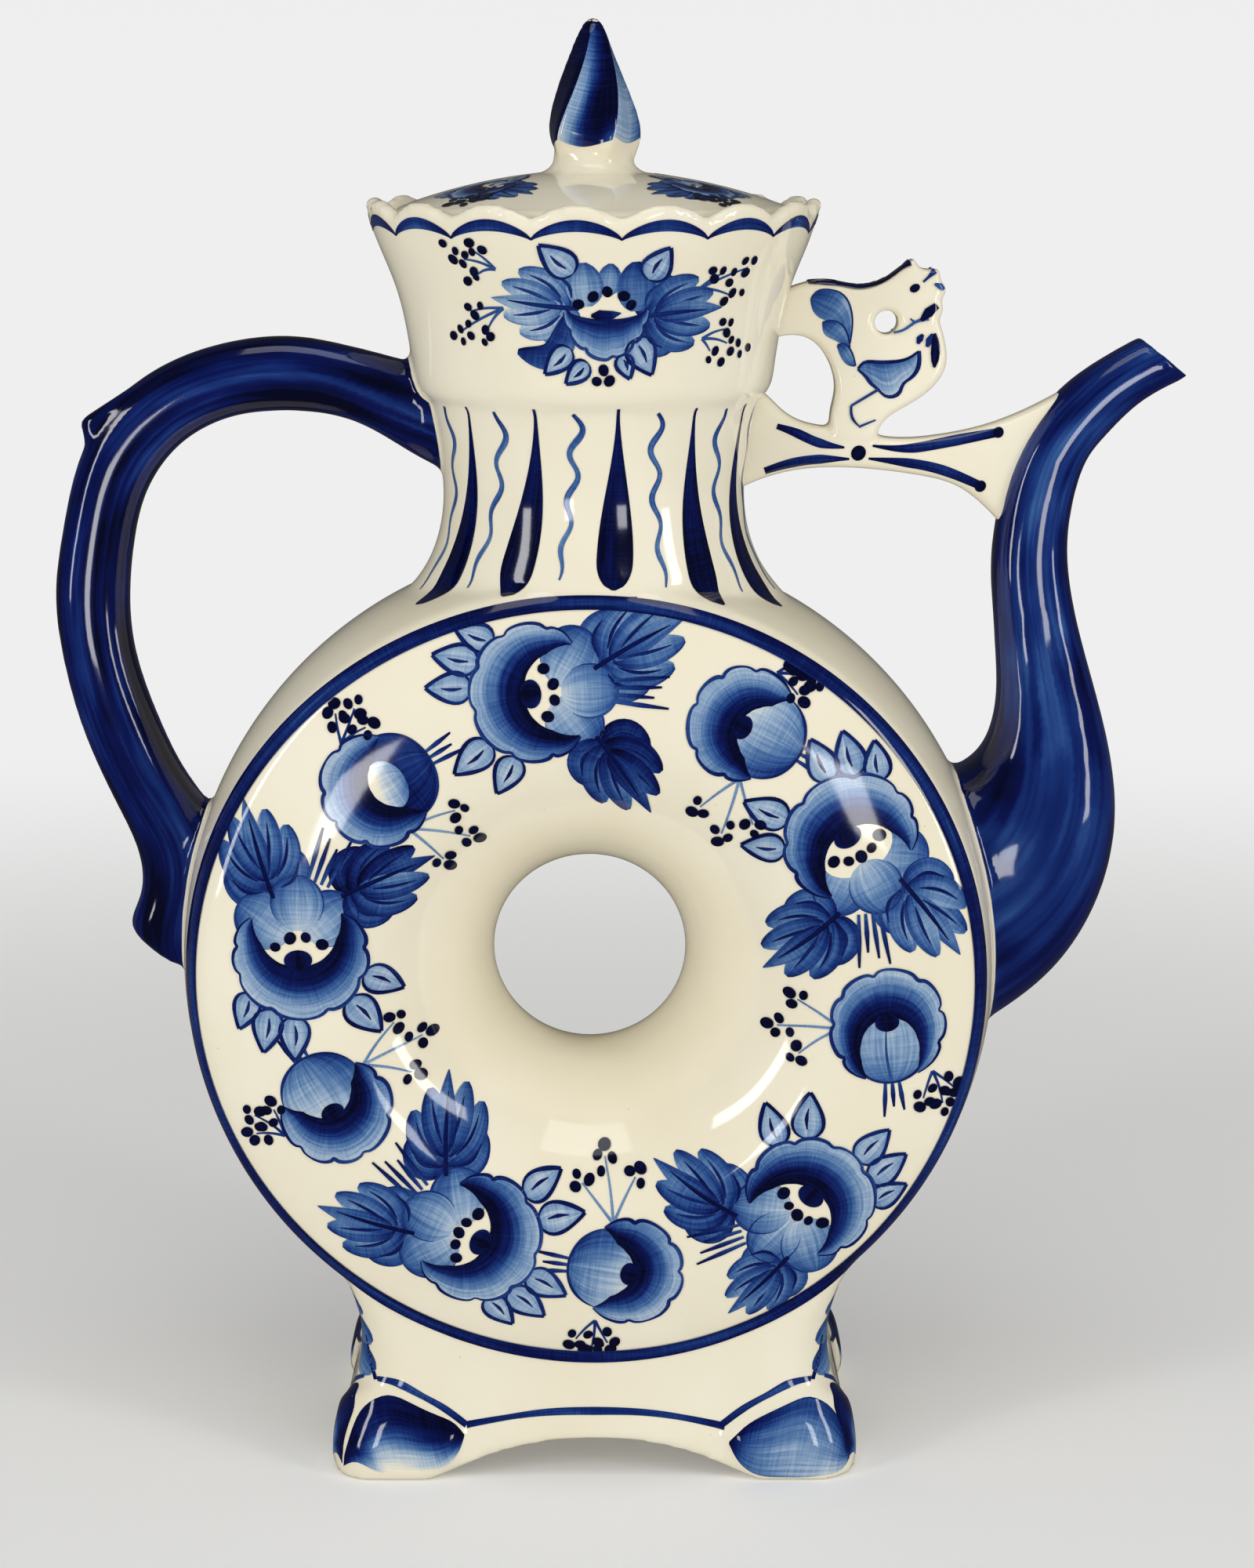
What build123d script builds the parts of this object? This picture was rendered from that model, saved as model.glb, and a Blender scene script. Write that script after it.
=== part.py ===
from build123d import *
import os

# A porcelain jug teapot with a ring body: a hollow ring that stands on a flared
# pedestal with four feet, a round neck with a scalloped collar, an S-shaped spout on
# the right, a loop handle on the left, a flat bridge that carries a small rooster,
# and a domed lid with a bud on top. Millimetres, +Z up, z = 0 on the table. The
# painted front faces -Y. Every piece is drawn with x = y = 0 on the axis of the neck
# and the lid, and is then moved along X by AXIS_SHIFT as it is written, so that the
# written parts have their origin at the bottom centre of the whole teapot's box.

os.makedirs("parts", exist_ok=True)

AXIS_SHIFT = -5.85

# Ring body. Depths are measured from the middle plane towards the front or the back.
WALL = 4.5  # slip-cast wall of the ring, the neck and the pedestal
RIM_RADIUS = 97.5  # widest place, on the middle plane
RING_CLEARANCE = 22.5  # lowest place of the ring above the table
RING_HEIGHT = RING_CLEARANCE + RIM_RADIUS
RING_TOP = RING_HEIGHT + RIM_RADIUS
RING_OFFSET = -1.2  # the ring sits a little towards the handle
THROAT_RADIUS = 23.2  # narrowest place of the hole through the ring
CREST_RADIUS = 62.0
CREST_DEPTH = 43.0
EDGE_RADIUS = RIM_RADIUS - 5.5  # rounded edge that carries the painted line
EDGE_DEPTH = 37.5
EDGE_ROUNDING = 4.0
SEAM_TURN = -50.0  # turns the start of the ring's surface to a place where nothing joins it

# Neck: height above the ring's top, half width and half depth of each section.
NECK = [
    (-19.5, 51.5, 36.8),
    (-12.5, 46.2, 37.0),
    (-5.5, 40.6, 36.8),
    (2.5, 37.0, 36.2),
    (12.5, 35.5, 35.5),
    (24.5, 36.6, 36.6),
    (35.5, 38.6, 38.6),
]
NECK_TOP = RING_TOP + NECK[-1][0]
NECK_TOP_RADIUS = NECK[-1][1]

# Collar with its scalloped rim and the seat for the lid.
COLLAR_WALL = 4.2
COLLAR_HEIGHT = 46.3
COLLAR_TOP = NECK_TOP + COLLAR_HEIGHT
COLLAR_TOP_RADIUS = 53.4
COLLAR_SHAPE = [(0.257, 0.151), (0.338, 0.324), (0.527, 0.572), (0.797, 0.788)]  # shares of flare and height
SCALLOPS = 16
SCALLOP_DEPTH = 3.3
SCALLOP_PHASE = 7.5  # degrees from the front to the nearest valley
SEAT_DROP = 7.3  # from the top of the scallops down to the seat
SEAT_HEIGHT = COLLAR_TOP - SEAT_DROP
SEAT_THICKNESS = 3.6
LID_RADIUS = COLLAR_TOP_RADIUS - COLLAR_WALL - 3.0  # clear of the collar's inner side
SEAT_WIDTH = 8.0  # how much of the lid's edge lies on the seat
SEAT_BORE = LID_RADIUS - SEAT_WIDTH

# Lid.
LID_RISE = 13.4
LID_TOP = SEAT_HEIGHT + LID_RISE
DOME_RADIUS = 123.0
DOME_WALL = 4.0
SKIRT_CLEARANCE = 1.0
SKIRT_WALL = 3.7
SKIRT_LENGTH = 12.0

# Bud on the lid: height above the dome and half width of each five-sided section.
BUD_SIDES = 5
BUD_TWIST = 7.0  # degrees from one section to the next
BUD = [
    (2.6, 9.3),
    (7.6, 10.9),
    (12.6, 10.3),
    (18.1, 8.5),
    (23.6, 6.4),
    (28.6, 4.4),
    (32.6, 2.5),
    (34.6, 0.9),
]
BUD_ROOT = 3.4  # how deep the bud's waist reaches below the top of the dome

# Pedestal and feet: height, half width, half depth and corner radius.
PEDESTAL = [
    (0.0, 60.6, 42.4, 10.0),
    (6.0, 61.0, 42.0, 10.0),
    (13.0, 59.8, 40.6, 11.0),
    (22.0, 57.0, 38.6, 12.0),
    (33.0, 55.8, 37.3, 10.0),
    (42.0, 57.6, 37.0, 8.0),
    (50.0, 61.2, 36.8, 6.0),
    (60.0, 68.6, 36.4, 5.0),
]
ARCH_HALF_SPAN = 38.0
ARCH_HEIGHT = 9.4
SIDE_ARCH_HALF_SPAN = 24.0
FOOT_PROUD = 1.8  # how far a foot stands out from the pedestal
FOOT_TOP = 21.0
FOOT_INNER_TOP = 12.0
FOOT_TOE = 4.0  # height of the foot's rounded inner end

# The outlines below, as points of the side view, are drawn for a ring of this radius and
# height. They grow and rise with the ring.
DRAWN_RADIUS = 97.5
DRAWN_HEIGHT = 120.0

# Spout: inner point, outer point and half depth of each section, from the ring to
# the mouth. The stem's last section is the beak's first.
SPOUT_WALL = 3.6
SPOUT_STEM = [
    ((84.0, 162.5), (90.0, 99.5), 21.0),
    ((90.2, 165.8), (110.6, 115.2), 20.0),
    ((93.4, 169.5), (120.8, 131.5), 17.8),
    ((95.4, 174.8), (125.0, 149.5), 15.4),
    ((96.3, 181.5), (123.9, 166.0), 13.2),
    ((96.0, 190.5), (119.4, 184.0), 11.2),
    ((95.0, 203.0), (114.6, 201.0), 9.8),
    ((94.4, 214.0), (112.4, 214.0), 9.1),
]
SPOUT_BEAK = [
    SPOUT_STEM[-1],
    ((95.8, 227.0), (112.9, 226.0), 8.7),
    ((100.0, 240.5), (116.0, 237.5), 8.4),
    ((107.2, 251.8), (120.4, 243.6), 8.1),
    ((117.2, 260.4), (128.6, 251.6), 7.7),
    ((128.2, 266.8), (139.6, 257.6), 7.4),
]
STRAINER_HOLE = 8.0

# Handle: outer point and inner point of each section, from the neck to the ring.
HANDLE_HALF_DEPTH = 7.8
HANDLE = [
    ((-34.0, 258.5), (-29.0, 233.0)),
    ((-46.0, 261.9), (-41.7, 239.0)),
    ((-60.0, 265.4), (-57.0, 247.4)),
    ((-74.0, 267.1), (-74.5, 249.6)),
    ((-90.0, 264.6), (-87.0, 247.6)),
    ((-106.6, 256.9), (-97.8, 241.4)),
    ((-118.8, 243.6), (-104.8, 232.4)),
    ((-125.6, 222.0), (-109.0, 219.0)),
    ((-127.9, 205.0), (-110.5, 203.6)),
    ((-126.2, 189.0), (-109.0, 190.2)),
    ((-121.4, 171.0), (-103.8, 174.6)),
    ((-114.6, 155.0), (-97.0, 161.0)),
    ((-109.6, 142.0), (-89.0, 147.0)),
    ((-110.2, 131.8), (-89.0, 133.0)),
    ((-111.8, 124.6), (-91.0, 121.4)),
    ((-105.0, 118.4), (-94.0, 114.6)),
]
SPUR = [(-110.0, 254.4), (-120.6, 247.6), (-119.4, 241.4), (-107.0, 244.0)]

# Bridge between the neck and the spout, and the rooster that stands on it.
BRIDGE_HALF_DEPTH = 4.3
BRIDGE_ROUNDING = 2.4
ROOSTER_HALF_DEPTH = 4.6
ROOSTER_ROUNDING = 1.0
EYELET = ((68.4, 270.4), 2.8)
BRIDGE_TOP = [
    (30.0, 258.0), (40.6, 253.4), (44.6, 249.6), (50.4, 246.7), (58.0, 245.6),
    (69.6, 243.4), (80.9, 243.9), (92.0, 246.2), (107.0, 252.6), (113.0, 256.0),
]
BRIDGE_BOTTOM = [
    (101.0, 218.0), (94.4, 225.0), (86.0, 231.8), (76.0, 234.6), (62.0, 236.2),
    (47.0, 235.6), (38.0, 233.0), (30.0, 229.0),
]
BACK = [(40.0, 276.0), (47.6, 279.0), (53.5, 280.1), (61.9, 278.8), (68.5, 280.5), (74.6, 285.4)]
COMB = [(74.6, 285.4), (76.2, 283.0), (78.2, 282.6), (80.8, 282.7)]
FACE = [(80.8, 282.7), (81.0, 280.2), (82.3, 277.8), (81.3, 275.6), (81.6, 274.0), (80.7, 271.0)]
BREAST = [(80.7, 271.0), (82.4, 265.0), (82.5, 260.4), (79.4, 255.2), (73.2, 250.8), (67.6, 246.6), (66.0, 241.5)]
LEG = [(56.0, 243.0), (55.6, 248.6), (56.6, 254.0), (54.9, 261.6), (49.7, 266.9), (44.0, 267.2), (38.0, 265.0)]


def fitted(point):
    """A point of the side view, grown and raised with the ring."""
    growth = RIM_RADIUS / DRAWN_RADIUS
    return (growth * point[0], RING_HEIGHT + growth * (point[1] - DRAWN_HEIGHT))


def outline(points):
    """A smooth curve through points of the side view."""
    return Spline(*[fitted(point) for point in points])


def at(point):
    """A point of the side view, moved into the middle plane of the teapot."""
    across, height = fitted(point)
    return Vector(across, 0, height)


def edge_arcs(inset):
    """The ring's outline from the crest over the edge to the widest place."""
    crest = (CREST_RADIUS, -(CREST_DEPTH - inset))
    edge = (EDGE_RADIUS - inset, -(EDGE_DEPTH - inset))
    rim = (RIM_RADIUS - inset, 0.0)
    return [TangentArc(crest, edge, tangent=(1, 0)), TangentArc(rim, edge, tangent=(0, -1))]


def throat_curve(inset):
    """The ring's outline from the middle of the hole out to the crest."""
    start = THROAT_RADIUS + inset
    depth = CREST_DEPTH - inset
    reach = CREST_RADIUS - start
    return Bezier((start, 0), (start, -0.32 * depth), (start + 0.45 * reach, -depth), (CREST_RADIUS, -depth))


def soften_edge(section):
    """Rounds the corner of a ring section that carries the painted line."""
    corner = Vector(EDGE_RADIUS, -EDGE_DEPTH, 0)
    return fillet(section.vertices().sort_by_distance(corner)[0], EDGE_ROUNDING)


def ring_half():
    """Front half of the hollow ring, open on the middle plane."""
    outer = [throat_curve(0), *edge_arcs(0)]
    inner = [throat_curve(WALL), *edge_arcs(WALL)]
    closing = [
        Line((THROAT_RADIUS, 0), (THROAT_RADIUS + WALL, 0)),
        Line((RIM_RADIUS, 0), (RIM_RADIUS - WALL, 0)),
    ]
    section = soften_edge(make_face([*outer, *inner, *closing]))
    return Pos(RING_OFFSET, 0, RING_HEIGHT) * Rot(0, SEAM_TURN, 0) * revolve(section, axis=Axis.Y)


def drum():
    """The space inside the ring's outer surface, with the hole filled, to cut with."""
    closing = Polyline((RIM_RADIUS, 0), (0, 0), (0, -CREST_DEPTH), (CREST_RADIUS, -CREST_DEPTH))
    half = revolve(soften_edge(make_face([*edge_arcs(0), closing])), axis=Axis.Y)
    return Pos(RING_OFFSET, 0, RING_HEIGHT) * Rot(0, SEAM_TURN, 0) * (half + mirror(half, about=Plane.XZ))


def neck_space(inset):
    """The neck's outer shape, or with the wall as inset its inner space."""
    return loft([Pos(0, 0, RING_TOP + rise) * Ellipse(a - inset, b - inset) for rise, a, b in NECK])


def collar_profile(inset):
    """Side of the collar from the ledge to the rim."""
    flare = COLLAR_TOP_RADIUS - NECK_TOP_RADIUS
    points = [
        (NECK_TOP_RADIUS + flare * out - inset, NECK_TOP + COLLAR_HEIGHT * up)
        for out, up in [*COLLAR_SHAPE, (1.0, 1.0)]
    ]
    return Spline(*points)


def ledge_curve():
    """The rolled ledge between the neck and the collar's side."""
    first = (NECK_TOP_RADIUS + 2.8, NECK_TOP + 0.6)
    second = (NECK_TOP_RADIUS + 3.5, NECK_TOP + 3.6)
    return Bezier((NECK_TOP_RADIUS, NECK_TOP), first, second, collar_profile(0) @ 0)


def scallop_notch(angle):
    """Tool that cuts one valley between two scallops of the rim."""
    reach = 10.4
    top = COLLAR_TOP
    shape = make_face([
        TangentArc((-reach, top), (0, top - SCALLOP_DEPTH), tangent=(1, 0)),
        TangentArc((reach, top), (0, top - SCALLOP_DEPTH), tangent=(-1, 0)),
        Polyline((-reach, top), (-reach, top + 4), (reach, top + 4), (reach, top)),
    ])
    outward = Vector(1, 0, 0).rotate(Axis.Z, angle)
    along = Vector(0, 1, 0).rotate(Axis.Z, angle)
    plane = Plane(origin=outward * (COLLAR_TOP_RADIUS - 9), x_dir=along, z_dir=outward)
    return extrude(plane * shape, amount=14)


def collar():
    """Flared collar with a rolled ledge below, scallops above and the lid's seat inside."""
    bore = NECK_TOP_RADIUS - WALL
    outer = collar_profile(0)
    inner = collar_profile(COLLAR_WALL)
    section = make_face([
        Line((bore, NECK_TOP), (NECK_TOP_RADIUS, NECK_TOP)),
        ledge_curve(),
        outer,
        Line(outer @ 1, inner @ 1),
        inner,
        Line(inner @ 0, (bore, NECK_TOP)),
    ])
    seat_face = Circle(COLLAR_TOP_RADIUS - COLLAR_WALL) - Circle(SEAT_BORE)
    seat = Pos(0, 0, SEAT_HEIGHT - SEAT_THICKNESS) * extrude(seat_face, SEAT_THICKNESS)
    closing = Polyline(inner @ 1, (0, COLLAR_TOP), (0, (inner @ 0).Y), inner @ 0)
    inside = revolve(Plane.XZ * make_face([inner, closing]), axis=Axis.Z)
    body = revolve(Plane.XZ * section, axis=Axis.Z) + (seat & inside)
    for index in range(SCALLOPS):
        body -= scallop_notch(-90 + SCALLOP_PHASE + index * 360 / SCALLOPS)
    return body


def pedestal_space(grow):
    """The pedestal's outer shape, grown or shrunk all round."""
    return loft([
        Pos(0, 0, z) * RectangleRounded(2 * (a + grow), 2 * (b + grow), r + grow / 2)
        for z, a, b, r in PEDESTAL
    ])


def arch(half_span, rotation):
    """Tool for the arches between the feet on two opposite sides."""
    shape = make_face([
        ThreePointArc((-half_span, 0), (0, ARCH_HEIGHT), (half_span, 0)),
        Polyline((-half_span, 0), (-half_span, -2), (half_span, -2), (half_span, 0)),
    ])
    return Rot(0, 0, rotation) * extrude(Plane.XZ * shape, amount=90, both=True)


def foot_block():
    """Left front foot: a corner of the pedestal that stands proud of it."""
    width, depth = ARCH_HALF_SPAN, SIDE_ARCH_HALF_SPAN
    front = make_face(Polyline(
        (-width - 32.0, 0), (-width, 0), (5.0 - width, FOOT_TOE), (7.5 - width, FOOT_INNER_TOP),
        (-width - 14.0, FOOT_TOP), (-width - 32.0, FOOT_TOP + 2), close=True,
    ))
    side = make_face(Polyline(
        (-depth - 31.0, 0), (-depth, 0), (4.0 - depth, FOOT_TOE), (6.0 - depth, FOOT_INNER_TOP),
        (-depth - 12.0, FOOT_TOP), (-depth - 31.0, FOOT_TOP + 2), close=True,
    ))
    from_front = extrude(Plane.XZ * front, amount=60, both=True)
    from_side = extrude(Plane.YZ * side, amount=80, both=True)
    return pedestal_space(FOOT_PROUD) & from_front & from_side


def stations(pairs, half_depths, inset):
    """Rounded sections between pairs of points of the side view."""
    sections = []
    for (first, second), half_depth in zip(pairs, half_depths):
        across = at(second) - at(first)
        centre = (at(second) + at(first)) * 0.5
        width = across.length - 2 * inset
        depth = 2 * (half_depth - inset)
        plane = Plane(origin=centre, x_dir=across, z_dir=across.cross(Vector(0, 1, 0)))
        sections.append(plane * RectangleRounded(width, depth, 0.4 * min(width, depth)))
    return sections


def spout_piece(rows, inset):
    """Part of the spout, or with the wall as inset its bore."""
    return loft(stations([row[:2] for row in rows], [row[2] for row in rows], inset))


def handle_bar():
    """The whole handle with the thumb spur, before it is fitted to the pot."""
    bar = loft(stations(HANDLE, [HANDLE_HALF_DEPTH] * len(HANDLE), 0))
    spur_face = make_face(Polyline(*[fitted(point) for point in SPUR], close=True))
    spur = extrude(Plane.XZ * spur_face, amount=5.6, both=True)
    return bar + spur


def slab(edges, half_depth, rounding):
    """A flat piece in the middle plane with softened edges."""
    rounding *= (RIM_RADIUS / DRAWN_RADIUS) ** 2
    body = extrude(Plane.XZ * make_face(edges), amount=half_depth, both=True)
    rim = body.edges().filter_by(lambda e: abs(abs(e.center().Y) - half_depth) < 0.01)
    return fillet(rim, rounding)


def bridge_slab():
    """The flat strut from the neck to the spout."""
    top, bottom = outline(BRIDGE_TOP), outline(BRIDGE_BOTTOM)
    return slab([top, Line(top @ 1, bottom @ 0), bottom, Line(bottom @ 1, top @ 0)], BRIDGE_HALF_DEPTH, BRIDGE_ROUNDING)


def rooster_slab():
    """The small pierced rooster whose tail grows out of the collar."""
    edges = [outline(points) for points in (BACK, COMB, FACE, BREAST, LEG)]
    edges += [Line(edges[3] @ 1, edges[4] @ 0), Line(edges[4] @ 1, edges[0] @ 0)]
    figure = slab(edges, ROOSTER_HALF_DEPTH, ROOSTER_ROUNDING)
    centre, radius = EYELET
    hole = extrude(Plane.XZ * Pos(*fitted(centre)) * Circle(radius), amount=10, both=True)
    return figure - hole


def lid_dome():
    """Shallow dome with a thick flat edge that rests on the seat."""
    skirt_bore = SEAT_BORE - SKIRT_CLEARANCE - SKIRT_WALL
    rim_height = LID_TOP - LID_RADIUS**2 / (2 * DOME_RADIUS)
    under = LID_TOP - DOME_WALL
    top = TangentArc((0, LID_TOP), (LID_RADIUS, rim_height), tangent=(1, 0))
    bottom = TangentArc((0, under), (skirt_bore, under - skirt_bore**2 / (2 * DOME_RADIUS)), tangent=(1, 0))
    section = make_face([
        top,
        Polyline(top @ 1, (LID_RADIUS, SEAT_HEIGHT), (skirt_bore, SEAT_HEIGHT), bottom @ 1),
        bottom,
        Line(bottom @ 0, top @ 0),
    ])
    section = fillet(section.vertices().sort_by_distance(Vector(*(top @ 1)))[0], 2.0)
    return revolve(Plane.XZ * section, axis=Axis.Z)


def lid_skirt():
    """Ring under the lid that keeps it centred in the mouth."""
    radius = SEAT_BORE - SKIRT_CLEARANCE
    ring = extrude(Circle(radius) - Circle(radius - SKIRT_WALL), SKIRT_LENGTH)
    return Pos(0, 0, SEAT_HEIGHT - SKIRT_LENGTH) * ring


def bud():
    """Twisted five-sided bud on a round waist that spreads onto the dome."""
    sections = []
    for index, (height, half_width) in enumerate(BUD):
        corner = RegularPolygon(1.08 * half_width, BUD_SIDES)
        rounded = fillet(corner.vertices(), 0.45 * half_width)
        sections.append(Pos(0, 0, LID_TOP + height) * Rot(0, 0, index * BUD_TWIST) * rounded)
    rise, base = BUD[0]
    top, low, floor = LID_TOP + rise, LID_TOP - 1.2, LID_TOP - BUD_ROOT
    foot = base + 4.1
    waist = make_face([
        Polyline((0, top), (base, top)),
        Bezier((base, top), (base - 0.6, LID_TOP + 1.0), (base + 1.1, LID_TOP), (foot, low)),
        Polyline((foot, low), (foot, floor), (0, floor), (0, top)),
    ])
    return loft(sections) + revolve(Plane.XZ * waist, axis=Axis.Z)


def save(name, piece):
    """Writes one piece as a STEP file and prints its size."""
    solids = piece.solids()
    largest = max(solids, key=lambda s: s.volume)
    placed = Pos(AXIS_SHIFT, 0, 0) * largest
    export_step(placed, f"parts/{name}.step")
    box = placed.bounding_box()
    print(name, len(solids), "solids", round(largest.volume), tuple(round(v, 1) for v in (*box.min, *box.max)))


envelope = drum()
neck_outer = neck_space(0)
neck_inner = neck_space(WALL)
spout_inner = spout_piece(SPOUT_STEM, SPOUT_WALL)

strainer = []
for across in (-STRAINER_HOLE, STRAINER_HOLE):
    for height in (118.0, 131.0, 144.0):
        place = at((92.0, height)) + Vector(0, across, 0)
        strainer.append(Pos(*place) * Rot(0, 90, 0) * Cylinder(STRAINER_HOLE / 2, 30))

front = ring_half() - neck_inner - strainer
save("ring_front", front)
save("ring_back", mirror(front, about=Plane.XZ))
neck = neck_outer - neck_inner - envelope
save("neck", neck)
collar_piece = collar()
save("collar", collar_piece)

foot = foot_block()
pedestal = pedestal_space(0) - pedestal_space(-WALL) - envelope
pedestal -= [arch(ARCH_HALF_SPAN, 0), arch(SIDE_ARCH_HALF_SPAN, 90)]
corners = {
    "foot_front_left": foot,
    "foot_front_right": mirror(foot, about=Plane.YZ),
    "foot_back_left": mirror(foot, about=Plane.XZ),
    "foot_back_right": mirror(mirror(foot, about=Plane.XZ), about=Plane.YZ),
}
for name, corner in corners.items():
    pedestal -= corner
    save(name, corner)
save("pedestal", pedestal)

stem = spout_piece(SPOUT_STEM, 0) - spout_inner - envelope
save("spout_stem", stem)
beak = spout_piece(SPOUT_BEAK, 0)
save("spout_beak", beak - spout_piece(SPOUT_BEAK, SPOUT_WALL))

collar_core = revolve(
    Plane.XZ * make_face([
        collar_profile(0),
        ledge_curve(),
        Polyline((NECK_TOP_RADIUS, NECK_TOP), (0, NECK_TOP), (0, COLLAR_TOP), collar_profile(0) @ 1),
    ]),
    axis=Axis.Z,
)
save("handle", handle_bar() - envelope - neck_outer - collar_core)
bridge = bridge_slab() - neck_outer - collar_core - beak
save("bridge", bridge)
save("rooster", rooster_slab() - collar_core - bridge_slab())

dome = lid_dome()
save("lid_dome", dome)
save("lid_skirt", lid_skirt())
save("lid_bud", bud() - dome)
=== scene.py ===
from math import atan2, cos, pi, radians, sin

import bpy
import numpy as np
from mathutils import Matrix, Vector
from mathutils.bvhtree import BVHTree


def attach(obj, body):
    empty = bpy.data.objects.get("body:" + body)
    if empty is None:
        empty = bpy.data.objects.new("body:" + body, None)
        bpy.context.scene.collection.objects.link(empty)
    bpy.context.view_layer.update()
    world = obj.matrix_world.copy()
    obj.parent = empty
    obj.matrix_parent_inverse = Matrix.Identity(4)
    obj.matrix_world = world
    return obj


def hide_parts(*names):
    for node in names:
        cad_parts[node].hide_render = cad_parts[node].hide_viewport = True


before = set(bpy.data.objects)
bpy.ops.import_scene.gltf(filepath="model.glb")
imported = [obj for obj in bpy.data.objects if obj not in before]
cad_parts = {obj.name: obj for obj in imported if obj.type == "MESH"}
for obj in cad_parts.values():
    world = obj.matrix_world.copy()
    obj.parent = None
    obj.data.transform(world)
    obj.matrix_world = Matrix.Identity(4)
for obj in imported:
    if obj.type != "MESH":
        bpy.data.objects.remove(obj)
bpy.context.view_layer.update()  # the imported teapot: its solids, its two bodies and the lid's joint

# %% [markdown]
# # A gzhel teapot with a ring body
# The pot is slip-cast porcelain, glazed and hand painted with cobalt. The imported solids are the
# frame: they give the sizes, and the lid's joint. This lesson models the same shapes again with
# the soft edges that glaze gives them, and then paints them stroke by stroke.
# All shapes are drawn in millimetres and become metres when a mesh is made.

MM = 0.001
AXIS_X = -5.85  # the neck's axis, along X

# %% [markdown]
# ## Lines and surfaces
# A clay shape is described by few sections, so three helpers do most of the work: a smooth
# curve through some rows of numbers, an arc that starts in a given direction, and even spacing
# along a line. A surface is a grid of rows, each a closed ring of points.

# %% Curves
def curve_through(rows, count):
    """Natural cubic curve through the rows, with as many rows as asked for."""
    rows = np.asarray(rows, float)
    steps = np.linalg.norm(np.diff(rows, axis=0), axis=1)
    knots = np.concatenate([[0.0], np.cumsum(steps)])
    size = len(rows)
    matrix, right = np.eye(size), np.zeros_like(rows)
    for i in range(1, size - 1):
        before, after = steps[i - 1], steps[i]
        matrix[i, i - 1 : i + 2] = before, 2 * (before + after), after
        right[i] = 6 * ((rows[i + 1] - rows[i]) / after - (rows[i] - rows[i - 1]) / before)
    bend = np.linalg.solve(matrix, right)
    at = np.linspace(0, knots[-1], count)
    i = np.clip(np.searchsorted(knots, at, side="right") - 1, 0, size - 2)
    step, low, high = steps[i][:, None], (at - knots[i])[:, None], (knots[i + 1] - at)[:, None]
    cubic = (bend[i] * high**3 + bend[i + 1] * low**3) / (6 * step)
    first = (rows[i] / step - bend[i] * step / 6) * high
    return cubic + first + (rows[i + 1] / step - bend[i + 1] * step / 6) * low


def bezier(a, b, c, d, count):
    """Cubic Bezier curve with four control points."""
    t = np.linspace(0, 1, count)[:, None]
    a, b, c, d = (np.asarray(p, float) for p in (a, b, c, d))
    return a * (1 - t) ** 3 + 3 * b * t * (1 - t) ** 2 + 3 * c * t**2 * (1 - t) + d * t**3


def arc_from(start, direction, end, count):
    """Arc in a plane that leaves start along direction and ends at end."""
    start, end, direction = (np.asarray(p, float) for p in (start, end, direction))
    chord = end - start
    side = np.array([-direction[1], direction[0]])
    radius = chord @ chord / (2 * (chord @ side))
    centre = start + side * radius
    first = atan2(*(start - centre)[::-1])
    turn = 2 * atan2(direction[0] * chord[1] - direction[1] * chord[0], direction @ chord)
    angles = first + turn * np.linspace(0, 1, count)
    return centre + abs(radius) * np.column_stack([np.cos(angles), np.sin(angles)])


def evenly(line, count, closed=False):
    """The same line with evenly spaced points."""
    line = np.asarray(line, float)
    if closed:
        line = np.vstack([line, line[:1]])
    along = np.concatenate([[0.0], np.cumsum(np.linalg.norm(np.diff(line, axis=0), axis=1))])
    at = np.linspace(0, along[-1], count, endpoint=not closed)
    return np.column_stack([np.interp(at, along, column) for column in line.T])


def smooth_step(value, low, high):
    """0 below low, 1 above high and an S-curve between."""
    t = np.clip((np.asarray(value, float) - low) / (high - low), 0, 1)
    return t * t * (3 - 2 * t)


# %% Surfaces
def in_scene(name, data):
    """A new object for a mesh, a curve, a lamp or a camera."""
    made = bpy.data.objects.new(name, data)
    bpy.context.scene.collection.objects.link(made)
    return made


def mesh_object(name, points, faces):
    """A mesh object from points in millimetres."""
    mesh = bpy.data.meshes.new(name)
    mesh.from_pydata((np.asarray(points, float).reshape(-1, 3) * MM).tolist(), [], faces)
    mesh.validate()
    return in_scene(name, mesh)


def surface(name, rows, loop=False):
    """A closed skin over rows of rings. loop joins the last row to the first, else the ends are capped."""
    rows = np.asarray(rows, float)
    count, around = rows.shape[:2]
    print(name + ":", count, "rows of", around, "points")
    faces = []
    for i in range(count if loop else count - 1):
        low, high = i * around, (i + 1) % count * around
        faces += [(low + j, low + (j + 1) % around, high + (j + 1) % around, high + j) for j in range(around)]
    if not loop:
        faces += [tuple(reversed(range(around))), tuple(range((count - 1) * around, count * around))]
    return mesh_object(name, rows, faces)


def fused(name, forms, grain, passes):
    """Joins clay forms into one skin, a grain in millimetres fine, and softens it like a sponge."""
    bpy.ops.object.select_all(action="DESELECT")
    for form in forms:
        form.select_set(True)
    bpy.context.view_layer.objects.active = forms[0]
    bpy.ops.object.join()
    raw = forms[0]
    remesh = raw.modifiers.new("skin", "REMESH")
    remesh.mode, remesh.voxel_size, remesh.use_smooth_shade = "VOXEL", grain * MM, True
    sponge = raw.modifiers.new("sponge", "SMOOTH")
    sponge.factor, sponge.iterations = 0.5, passes
    skin = bpy.data.meshes.new_from_object(raw.evaluated_get(bpy.context.evaluated_depsgraph_get()))
    bpy.data.objects.remove(raw)
    skin.name = name
    skin.polygons.foreach_set("use_smooth", [True] * len(skin.polygons))
    print(name, len(skin.polygons), "faces")
    return in_scene(name, skin)


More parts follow.
